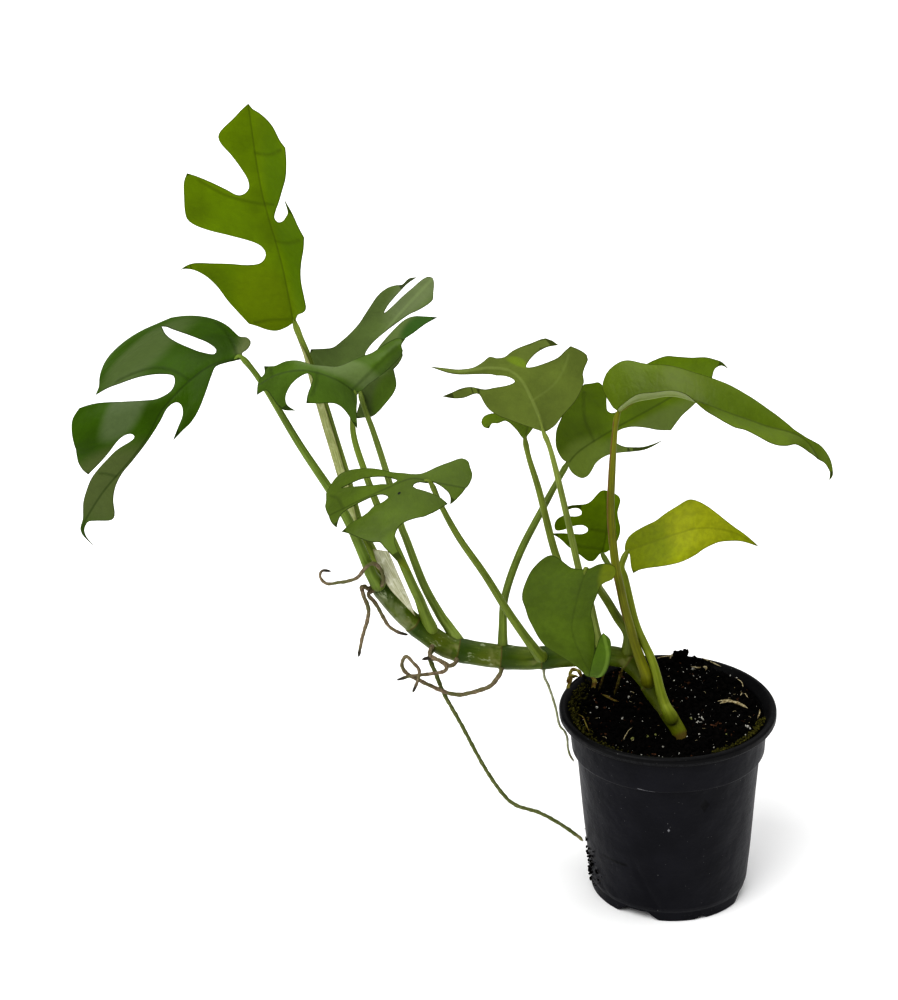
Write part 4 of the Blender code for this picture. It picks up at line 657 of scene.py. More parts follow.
# Short curled fibres of the coir
curls = []
for x, y, z in scattered(60, 6, 44, sink=0.0):
    turn, bend = draw.uniform(0, math.tau), draw.uniform(0.6, 1.5)
    bow = [
        (x + bend * math.cos(turn + k), y + bend * math.sin(turn + k), z + 0.4 + 0.12 * k)
        for k in (0, 0.8, 1.7, 2.5)
    ]
    curls.append(thread(bow, draw.uniform(0.14, 0.24), 5, 0.4))
soil_piece("fibre_curls", joined(curls), husk_look)

# Young rootlets: those over the left rim and two that come down from the stem
rootlet_look = crumb_look("young_rootlet", (0.105, 0.060, 0.016), (0.23, 0.21, 0.050), 0.35, 0.6)
rootlets = [
    ([(-30.7, 17.5, 93.3), (-28, 14.8, 93.3), (-25.8, 12.2, 93), (-23.2, 11.4, 92.8)], 0.85),
    ([(-46.9, 31, 96), (-45, 34, 98.6), (-41.5, 33, 98.2), (-39.8, 28.3, 94)], 1.1),
    ([(-41.8, 34, 99), (-37.1, 31.5, 97.5), (-33.9, 26.9, 96), (-35.7, 20.3, 93)], 1.15),
    ([(-48, 22, 97.5), (-46, 27, 99), (-42, 29, 97)], 0.9),
    ([(-47, 12, 93.5), (-47.5, 20, 96.5), (-45.5, 27, 98), (-43, 31, 96)], 0.9),
    ([(-20.5, 1.5, 117.5), (-22.4, 6, 110), (-23.8, 11.5, 101), (-25.2, 17, 92.7)], 0.75),
    ([(-30.5, 1, 119), (-30.6, 6, 110), (-31.6, 13.5, 101), (-32.7, 20.9, 93)], 0.6),
    ([(-45, 4.5, 91.2), (-40.9, -0.7, 91.2), (-39.7, -8.1, 90.8), (-38.1, -15.3, 90.2)], 0.4),
]
soil_piece("young_rootlets", joined([thread(*r) for r in rootlets]), rootlet_look)

# Moss and olive scum along the wall, thickest at the left and at the front right
moss_look = crumb_look("soil_moss", (0.026, 0.026, 0.006), (0.10, 0.092, 0.018), 0.8, 0.95, 0.4)
MOSS_PATCHES = [
    (420, 91.0, 95.6, (2.45, 3.75)), (90, 90.0, 94.0, (3.75, 4.15)), (560, 90.5, 95.4, (5.15, 6.05)),
]
moss = []
for count, low, high, wedge in MOSS_PATCHES:
    for _ in range(count):
        a, z = draw.uniform(*wedge), low + (high - low) * draw.random() ** 0.8
        r = SOIL_R - 0.6 + max(0.0, z - 93.2) * 0.93 - draw.random() ** 2 * 2.6
        moss.append((r * math.cos(a), r * math.sin(a), z))
moss += scattered(60, 36, 45, (4.1, 4.5), 0.5) + scattered(50, 38, 45, (2.5, 3.6), 0.5)
soil_piece("soil_moss", lumps(moss, [draw.uniform(0.3, 0.8) for _ in moss], 0, 0.3), moss_look)


# Stem: a thick smooth green creeping stem, out of the soil and over the rim, jointed at the scars of its
# leaves; at each joint it swells a little and keeps a corky ring.
def spline(points, at):
    """A smooth line through the points; at runs from 0 to 1 with the points at equal steps."""
    rows = np.asarray(points, float)
    spans = len(rows) - 1
    ends = np.concatenate([[2 * rows[0] - rows[1]], rows, [2 * rows[-1] - rows[-2]]])
    place = np.asarray(at, float) * spans
    i = np.clip(np.floor(place).astype(int), 0, spans - 1)
    f = (place - i)[:, None]
    a, b, c, d = ends[i], ends[i + 1], ends[i + 2], ends[i + 3]
    return 0.5 * (2 * b + (c - a) * f + (2 * a - 5 * b + 4 * c - d) * f**2 + (3 * b - a - 3 * c + d) * f**3)


def even_line(points, step):
    """Evenly spaced places on a smooth line through the points, and how far each lies along it."""
    fine = spline(points, np.linspace(0, 1, 60 * len(points)))
    run = run_of(fine)
    at = np.linspace(0, run[-1], max(4, int(round(run[-1] / step)) + 1))
    return between(at, run, fine), at


def tube(name, route, thickness, look, step=0.8, sides=20):
    """A round stalk along the route; thickness gives its radius from the distance along it, in mm, and may
    wave round it. It keeps how far it has run, what remains, and its skin laid along it, for its material."""
    line, along = even_line(route, step)
    heading = unit(np.gradient(line, axis=0))
    side = np.cross(heading[0], (0.0, -1.0, 0.0))
    if np.linalg.norm(side) < 0.2:
        side = np.cross(heading[0], (1.0, 0.0, 0.0))
    first = []
    for way in heading:
        side = unit(side - way * (side @ way))
        first.append(side)
    first = np.array(first)
    second = np.cross(heading, first)
    angles = np.linspace(0, 2 * math.pi, sides, endpoint=False)
    points = []
    for n in range(len(line)):
        radius = thickness(along[n], along[-1], angles)
        out = np.cos(angles)[:, None] * first[n] + np.sin(angles)[:, None] * second[n]
        points.append(line[n] + out * np.broadcast_to(radius, angles.shape)[:, None])
    rows = len(line)
    points = np.concatenate([*points, line[:1] - heading[0] * 0.2, line[-1:] + heading[-1] * 0.35])
    faces = wall_faces(rows, sides, flipped=True)
    faces += [(len(points) - 2, (k + 1) % sides, k) for k in range(sides)]
    top = (rows - 1) * sides
    faces += [(len(points) - 1, top + k, top + (k + 1) % sides) for k in range(sides)]
    made = piece(name, points, faces, look, angle=70)
    run = np.concatenate([np.repeat(along, sides), [0.0, along[-1]]])
    note(made, "along", run)
    note(made, "remaining", along[-1] - run)
    round_it = np.tile(np.column_stack([np.cos(angles), np.sin(angles)]), (rows, 1))
    skin = np.column_stack([round_it, np.repeat(along, sides)])
    note(made, "skin", np.concatenate([skin, [(0.0, 0.0, 0.0), (0.0, 0.0, along[-1])]]))
    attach(made, "root")
    return made


STEM_LINE = [
    (8, -18, 84), (4.5, -15.8, 92.5), (-0.5, -12.3, 99.8), (-6.3, -8.4, 107), (-12.3, -4.2, 115.5),
    (-18.5, -1.6, 122.2), (-24.5, -0.4, 124.8), (-33, 0, 125.6), (-42, 0, 125.4), (-51, 0, 125),
    (-67, 0, 124), (-81, 0, 125), (-94, 0, 127), (-106, 0, 130), (-116, 0, 137), (-125, 0, 145),
    (-133, 0, 154), (-138.5, 0, 162), (-140.2, 0, 167),
]
STEM_RADII = [3.6, 3.5, 4.0, 4.8, 5.2, 5.6, 5.9, 5.6, 5.0, 4.5, 4.0]
STEM_JOINTS = [21, 36, 51.3, 72.5, 93.7, 113.2, 134.3, 160, 185.7]


def stem_thickness(at, whole, angles):
    """Radius of the stem: at each joint a fine ring, a swelling before it and a waist after it."""
    radius = np.interp(at / whole, np.linspace(0, 1, len(STEM_RADII)), STEM_RADII)
    for joint in STEM_JOINTS:
        off = at - joint
        radius += 0.22 * math.exp(-((off / 0.8) ** 2))
        radius += 0.3 * math.exp(-(((off + 3.0) / 3.0) ** 2)) * (off < 0)
        radius -= 0.15 * math.exp(-(((off - 2.0) / 2.0) ** 2))
    return radius + 0.12 * np.sin(2 * angles + at * 0.05) + 0.05 * np.sin(9 * angles + at * 0.02)


def paint(red, green, blue):
    """A colour given as seen on a screen, 0 to 255, turned into light."""
    seen = [c / 255 for c in (red, green, blue)]
    return tuple(((c + 0.055) / 1.055) ** 2.4 if c > 0.04 else c / 12.92 for c in seen)


stem_look, start = new_look("vine_green")
place = millimetres(start)
along = read(start, "along") + (place.noise(0.16, 1.0) - 0.5) * 1.6
ringed, fresh, scarred = 0.0, 0.0, 0.0
for joint in STEM_JOINTS:
    off = along - joint
    ringed = abs(off).step(0.55, 0.15) + ringed
    fresh = off.step(-13.0, -1.0) * off.step(0.15, -0.15) + fresh
    scarred = off.step(0.1, 0.5) * off.step(7.5, 2.0) + scarred
skin = read(start, "skin", "Vector")
streaks = skin.vector("MULTIPLY", (4.0, 4.0, 0.11)).noise(0.55, 4.0, 0.65)
green = streaks.step(0.3, 0.72).blend(paint(62, 80, 12), paint(94, 110, 30))
green = place.noise(0.06, 2.0).step(0.42, 0.66).blend(green, paint(84, 96, 18))
green = (fresh * 0.8).blend(green, paint(42, 66, 0))
patchy = place.noise(0.17, 2.0).step(0.44, 0.60)
# Painted highlights: silver-grey streaks along the stem from its joint at 160 mm on
silver_highlight = place.vector("MULTIPLY", (1.0, 1.0, 0.6)).noise(0.13, 3.0).step(0.46, 0.62)
green = (along.step(158.0, 163.0) * silver_highlight * 0.75).blend(green, paint(122, 130, 92))
white = skin.vector("MULTIPLY", (3.0, 3.0, 0.3)).noise(0.5, 3.0, 0.6).step(0.60, 0.70)
green = (along.step(95.0, 112.0) * white * 0.55).blend(green, paint(170, 176, 146))
green = (scarred * patchy * 0.5).blend(green, paint(140, 138, 96))
green = (along.step(62.0, 44.0) * 0.65).blend(green, paint(84, 90, 10))
green = (along.step(24.0, 14.0) * 0.9).blend(green, paint(104, 112, 6))
green = (along.step(10.5, 8.0) * 0.8).blend(green, paint(96, 76, 40))
green = (ringed * 0.8).blend(green, paint(88, 80, 34))
flecks = place.spots(0.8, 0.14, 0.3)
green = (flecks * 0.5).blend(green, paint(150, 146, 100))
bumps = start.bump(streaks, 0.25)
bumps = start.bump(place.noise(1.4, 3.0), 0.10, bumps)
shine = 0.30 + streaks * 0.16 + ringed * 0.25 + scarred * patchy * 0.25
dress(stem_look, Base_Color=green, Roughness=shine, Normal=bumps, Specular_IOR_Level=0.24)
stem = tube("vine_stem", STEM_LINE, stem_thickness, stem_look, 0.7, 40)
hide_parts("stem")


# Leaf blades: leathery sheets that the plant grew whole and split into lobes as they opened, each on its
# own midrib; upper faces are glossy green, undersides paler and matt, with raised midribs.
def closed_outline(outline, step):
    """A closed line through (u, v) points, smooth except at the tips."""
    rows = np.array([q[:2] for q in outline], float)
    sharp = [len(q) > 2 for q in outline]
    made = []
    for i in range(len(rows)):
        j = (i + 1) % len(rows)
        a, b, c, d = rows[i - 1], rows[i], rows[j], rows[(i + 2) % len(rows)]
        span = np.linalg.norm(c - b)
        leave = c - b if sharp[i] else (c - a) * span / (span + np.linalg.norm(b - a))
        arrive = c - b if sharp[j] else (d - b) * span / (span + np.linalg.norm(d - c))
        parts = max(1, int(round(span / step)))
        for f in (k / parts for k in range(parts)):
            g = 1 - f
            bend = leave * f * g * g - arrive * f * f * g
            made.append(b * g * g * (1 + 2 * f) + c * f * f * (3 - 2 * f) + bend)
    return np.array(made)


class Blade:
    """A blade's surface: its midrib as a line in space, and the ways that its two halves leave it."""

    BACK, AHEAD, STEP = 40.0, 20.0, 0.5
    SOFT = 0.10
    PARTS = 12

    def __init__(self, leaf):
        line = spline(leaf["midrib"], np.linspace(0, 1, 241))
        run = run_of(line)
        self.length = run[-1]
        self.u = np.arange(-self.BACK, self.length + self.AHEAD, self.STEP)
        self.place = between(np.clip(self.u, 0, self.length), run, line)
        self.place += np.minimum(self.u, 0)[:, None] * unit(line[6] - line[0])
        self.place += np.maximum(self.u - self.length, 0)[:, None] * unit(line[-1] - line[-7])
        window = int(max(3, self.SOFT * self.length / self.STEP)) | 1
        weights = np.hanning(window + 2)[1:-1]
        weights /= weights.sum()
        self.ribs = {}
        for side in ("left", "right"):
            rows = leaf[side]
            at = [row[0] * self.length for row in rows]
            way = unit(np.array([row[1] for row in rows], float))
            bend = [row[2] if len(row) > 2 else (0, 0, 0) for row in rows]
            both = []
            for table in (way, bend):
                padded = np.pad(between(self.u, at, table), ((window, window), (0, 0)), mode="edge")
                soft = [np.convolve(column, weights, "same")[window:-window] for column in padded.T]
                both.append(np.stack(soft, 1))
            self.ribs[side] = both

    def at(self, uv):
        """World places of (u, v): u along the midrib, v out to the left (+) or right (-)."""
        uv = np.atleast_2d(np.asarray(uv, float))
        u, v = uv[:, 0], uv[:, 1]
        place = between(u, self.u, self.place)
        for side, here in (("left", v >= 0), ("right", v < 0)):
            way, bend = (between(u[here], self.u, table) for table in self.ribs[side])
            out = np.abs(v[here])
            for part in range(self.PARTS):
                far = (part + 0.5) / self.PARTS * out
                heading = unit(way + bend * (far / 10)[:, None])
                place[here] += heading * (out / self.PARTS)[:, None]
        return place

    def up(self, uv):
        """Unit normals of the upper face, averaged across the midrib."""
        uv = np.atleast_2d(np.asarray(uv, float))
        small = 0.6
        along = self.at(uv + (small, 0)) - self.at(uv - (small, 0))
        across = self.at(uv + (0, small)) - self.at(uv - (0, small))
        return unit(np.cross(along, across))


def inside(points, loop):
    """Which points lie within a closed loop."""
    x, y = points[:, 0], points[:, 1]
    odd = np.zeros(len(points), bool)
    for (ax, ay), (bx, by) in zip(loop, np.roll(loop, -1, axis=0)):
        crosses = (ay > y) != (by > y)
        with np.errstate(divide="ignore", invalid="ignore"):
            odd ^= crosses & (x < (bx - ax) * (y - ay) / (by - ay) + ax)
    return odd


def within(points, loops):
    """Which points lie within the first loop and outside its holes."""
    keep = inside(points, loops[0])
    for hole in loops[1:]:
        keep &= ~inside(points, hole)
    return keep


FAR = 99.0


def from_sides(points, sides):
    """Distance of each point from the nearest of many straight sides."""
    best = np.full(len(points), FAR)
    for a, b in sides:
        side = b - a
        f = np.clip(((points - a) @ side) / max(side @ side, 1e-9), 0, 1)
        best = np.minimum(best, np.linalg.norm(points - a - f[:, None] * side, axis=1))
    return best


def from_rim(points, loops):
    return from_sides(points, [pair for loop in loops for pair in zip(loop, np.roll(loop, -1, axis=0))])


def from_veins(points, lines):
    return from_sides(points, [pair for line in lines for pair in zip(line, line[1:])])


def vein_lines(leaf, loops, length):
    """The side veins: one into each lobe, from the midrib out to near the lobe's tip."""
    lines = []
    for side in (1, -1):
        taken = []
        tips = [q for q in leaf["outline"] if len(q) > 2 and q[1] * side > 9]
        for u, v, _ in sorted(tips, key=lambda q: q[0]):
            foot = min(max(u - 0.42 * abs(v), 2.0), length - 5.0)
            if any(abs(foot - other) <= 7 for other in taken):
                continue
            taken.append(foot)
            bend = (foot + 0.28 * (u - foot), 0.5 * v, 0)
            route = spline([(foot, 0, 0), bend, (u, v, 0)], np.linspace(0, 1, 40))[:, :2]
            run = run_of(route)
            line = between(np.arange(0, run[-1] - 2.5, 1.5), run, route)
            good = within(line, loops) & (from_rim(line, loops) > 1.3)
            good[0] = True
            stop = len(line) if good.all() else int(np.argmin(good))
            if stop > 3:
                lines.append(line[:stop])
    return lines


def sheet_triangles(loops, lines, step):
    """Points and triangles that fill the first loop, leave the others open, and keep the veins' lines."""
    low, high = loops[0].min(0), loops[0].max(0)
    fill = []
    for n, v in enumerate(np.arange(low[1] + step / 3, high[1], step * math.sqrt(3) / 2)):
        fill += [(u, v) for u in np.arange(low[0] + step * (0.25 + 0.5 * (n % 2)), high[0], step)]
    fill = np.array([p for p in fill if abs(p[1]) > 2.6]).reshape(-1, 2)
    spine_rows = (-1.8, -0.8, 0, 0.8, 1.8)
    spine = np.array([(u, v) for v in spine_rows for u in np.arange(low[0] + 0.4, high[0], 1.2)])
    clear = np.repeat([step * 0.5, 0.35], [len(fill), len(spine)])
    fill = np.concatenate([fill, spine])
    keep = within(fill, loops) & (from_rim(fill, loops) > clear)
    keep &= from_veins(fill, lines) > np.minimum(clear, 0.7)
    made, faces = triangles(loops, lines, fill[keep])
    a, b, c = made[faces[:, 0]], made[faces[:, 1]], made[faces[:, 2]]
    turn = (b[:, 0] - a[:, 0]) * (c[:, 1] - a[:, 1]) - (b[:, 1] - a[:, 1]) * (c[:, 0] - a[:, 0])
    faces[turn < 0] = faces[turn < 0][:, ::-1]
    return made, faces[within(made[faces].mean(1), loops)]


def blade_piece(name, leaf, look, thick=0.5, step=1.8, ridge=0.7):
    """A leaf blade: two faces joined round every edge, thin at the rim, with a midrib along its underside."""
    sheet = Blade(leaf)
    loops = [closed_outline(way, 1.3) for way in [leaf["outline"]] + leaf.get("holes", [])]
    lines = vein_lines(leaf, loops, sheet.length) if ridge else []
    flat, faces = sheet_triangles(loops, lines, step)
    u, v = flat.T
    place, up = sheet.at(flat), sheet.up(flat)
    edge, vein = from_rim(flat, loops), from_veins(flat, lines)
    half = thick / 2 * np.clip(0.45 + edge / 2.2, 0.45, 1)
    fade = np.clip((sheet.length - u) / sheet.length, 0, 1) ** 0.6 * np.clip((u + 1.5) / 1.5, 0, 1)
    keel = ridge * fade * np.exp(-((v / 1.15) ** 2))
    groove = 0.25 * min(ridge, 1) * np.exp(-((v / 0.9) ** 2)) * fade
    puff = (1 - np.exp(-((vein / 3.2) ** 2))) * (1 - np.exp(-((v / 3.5) ** 2))) * np.clip(edge / 3, 0, 1)
    wave = np.sin(u * 0.41 + 1.1 * np.sin(v * 0.23)) * np.sin(v * 0.37 + 0.8) * np.clip(edge / 2, 0, 1)
    puff = (0.28 * puff + 0.10 * wave) * min(ridge, 1)
    top = place + up * (half + puff - groove)[:, None]
    low = place - up * (half - puff + keel)[:, None]
    count = len(flat)
    skin = [tuple(f) for f in np.concatenate([faces, faces[:, ::-1] + count])]
    sides = {(f[k], f[(k + 1) % 3]) for f in faces for k in range(3)}
    skin += [(b, a, a + count, b + count) for a, b in sides if (b, a) not in sides]
    made = piece(name, np.concatenate([top, low]), skin, look, angle=55)
    note(made, "blade", np.tile(np.column_stack([flat, np.zeros(count)]), (2, 1)))
    note(made, "upper", np.repeat([1.0, 0.0], count))
    note(made, "vein", np.tile(vein, 2))
    note(made, "edge", np.tile(edge, 2))
    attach(made, "root")
    return made, sheet


def leaf_look(name, upper, under, gloss=0.38, veined=0.5, shiny=0.2, mottled=0.18, ribbed=0.6, tint_and_painted_light_patches=()):
    """Leaf skin. Patches are soft ovals of another tint, mostly painted sheen and painted light and shade:
    (face, u, v, reach along, reach across, turn in degrees, colour, strength), the face 1 for the upper one."""
    made, start = new_look(name)
    blade = read(start, "blade", "Vector")
    u, v = blade.axis(0), blade.axis(1)
    top, vein, edge = (read(start, word) for word in ("upper", "vein", "edge"))
    cloud, mottle = blade.noise(0.05, 2.0), blade.noise(0.32, 4.0, 0.65)
    along = blade.vector("MULTIPLY", (1.0, 0.7, 1.0))
    mesh = {"Vector": along, "Scale": 0.30}
    net = start.node("ShaderNodeTexVoronoi", {"feature": "DISTANCE_TO_EDGE"}, mesh)
    face_colours = []
    for face, colour in ((1, paint(*upper)), (0, paint(*under))):
        tint = cloud.step(0.25, 0.75).blend([c * 0.84 for c in colour], [c * 1.14 for c in colour])
        for side, at_u, at_v, far_u, far_v, turn, other, strength in tint_and_painted_light_patches:
            if side == face:
                cos, sin = math.cos(math.radians(turn)), math.sin(math.radians(turn))
                x = ((u - at_u) * cos + (v - at_v) * sin) / far_u
                y = ((v - at_v) * cos - (u - at_u) * sin) / far_v
                tint = ((x * x + y * y).step(1.1, 0.25) * strength).blend(tint, paint(*other))
        face_colours.append(tint)
    up_tint, low_tint = face_colours
    dark, pale = [c * 0.42 for c in paint(*upper)], paint(*(min(255, c + 38) for c in under))
    up_tint = (vein.step(1.5, 0.0) * 0.75 * veined).blend(up_tint, dark)
    up_tint = (abs(v).step(0.8, 0.15) * min(1, veined)).blend(up_tint, dark)
    low_tint = (vein.step(0.9, 0.0) * 0.4 * veined).blend(low_tint, pale)
    low_tint = (abs(v).step(1.15, 0.35) * ribbed).blend(low_tint, pale)
    skin = top.step(0.45, 0.55).blend(low_tint, up_tint)
    skin = (mottle.step(0.35, 0.65) * mottled).blend(skin, skin.shade(1.35))
    skin = (net.step(0.10, 0.0) * 0.16 * veined).blend(skin, skin.shade(0.6))
    # Painted shade: the blade darkened in a thin line all along its rim
    rim = edge.step(0.45, 0.0)
    skin = (rim * 0.8).blend(skin, skin.shade(0.3))
    shine = gloss + (mottle - 0.5) * 0.14 + (1 - top) * 0.14 + rim * 0.4
    bumps = start.bump(blade.noise(0.16, 3.0), 0.35)
    bumps = start.bump(net.step(0.0, 0.25), 0.03, bumps)
    bumps = start.bump(vein.step(0.0, 1.1), 0.12 * veined, bumps)
    bumps = start.bump(blade.noise(2.2, 2.0), 0.015, bumps)
    return dress(made, Base_Color=skin, Roughness=shine, Normal=bumps, Specular_IOR_Level=shiny)


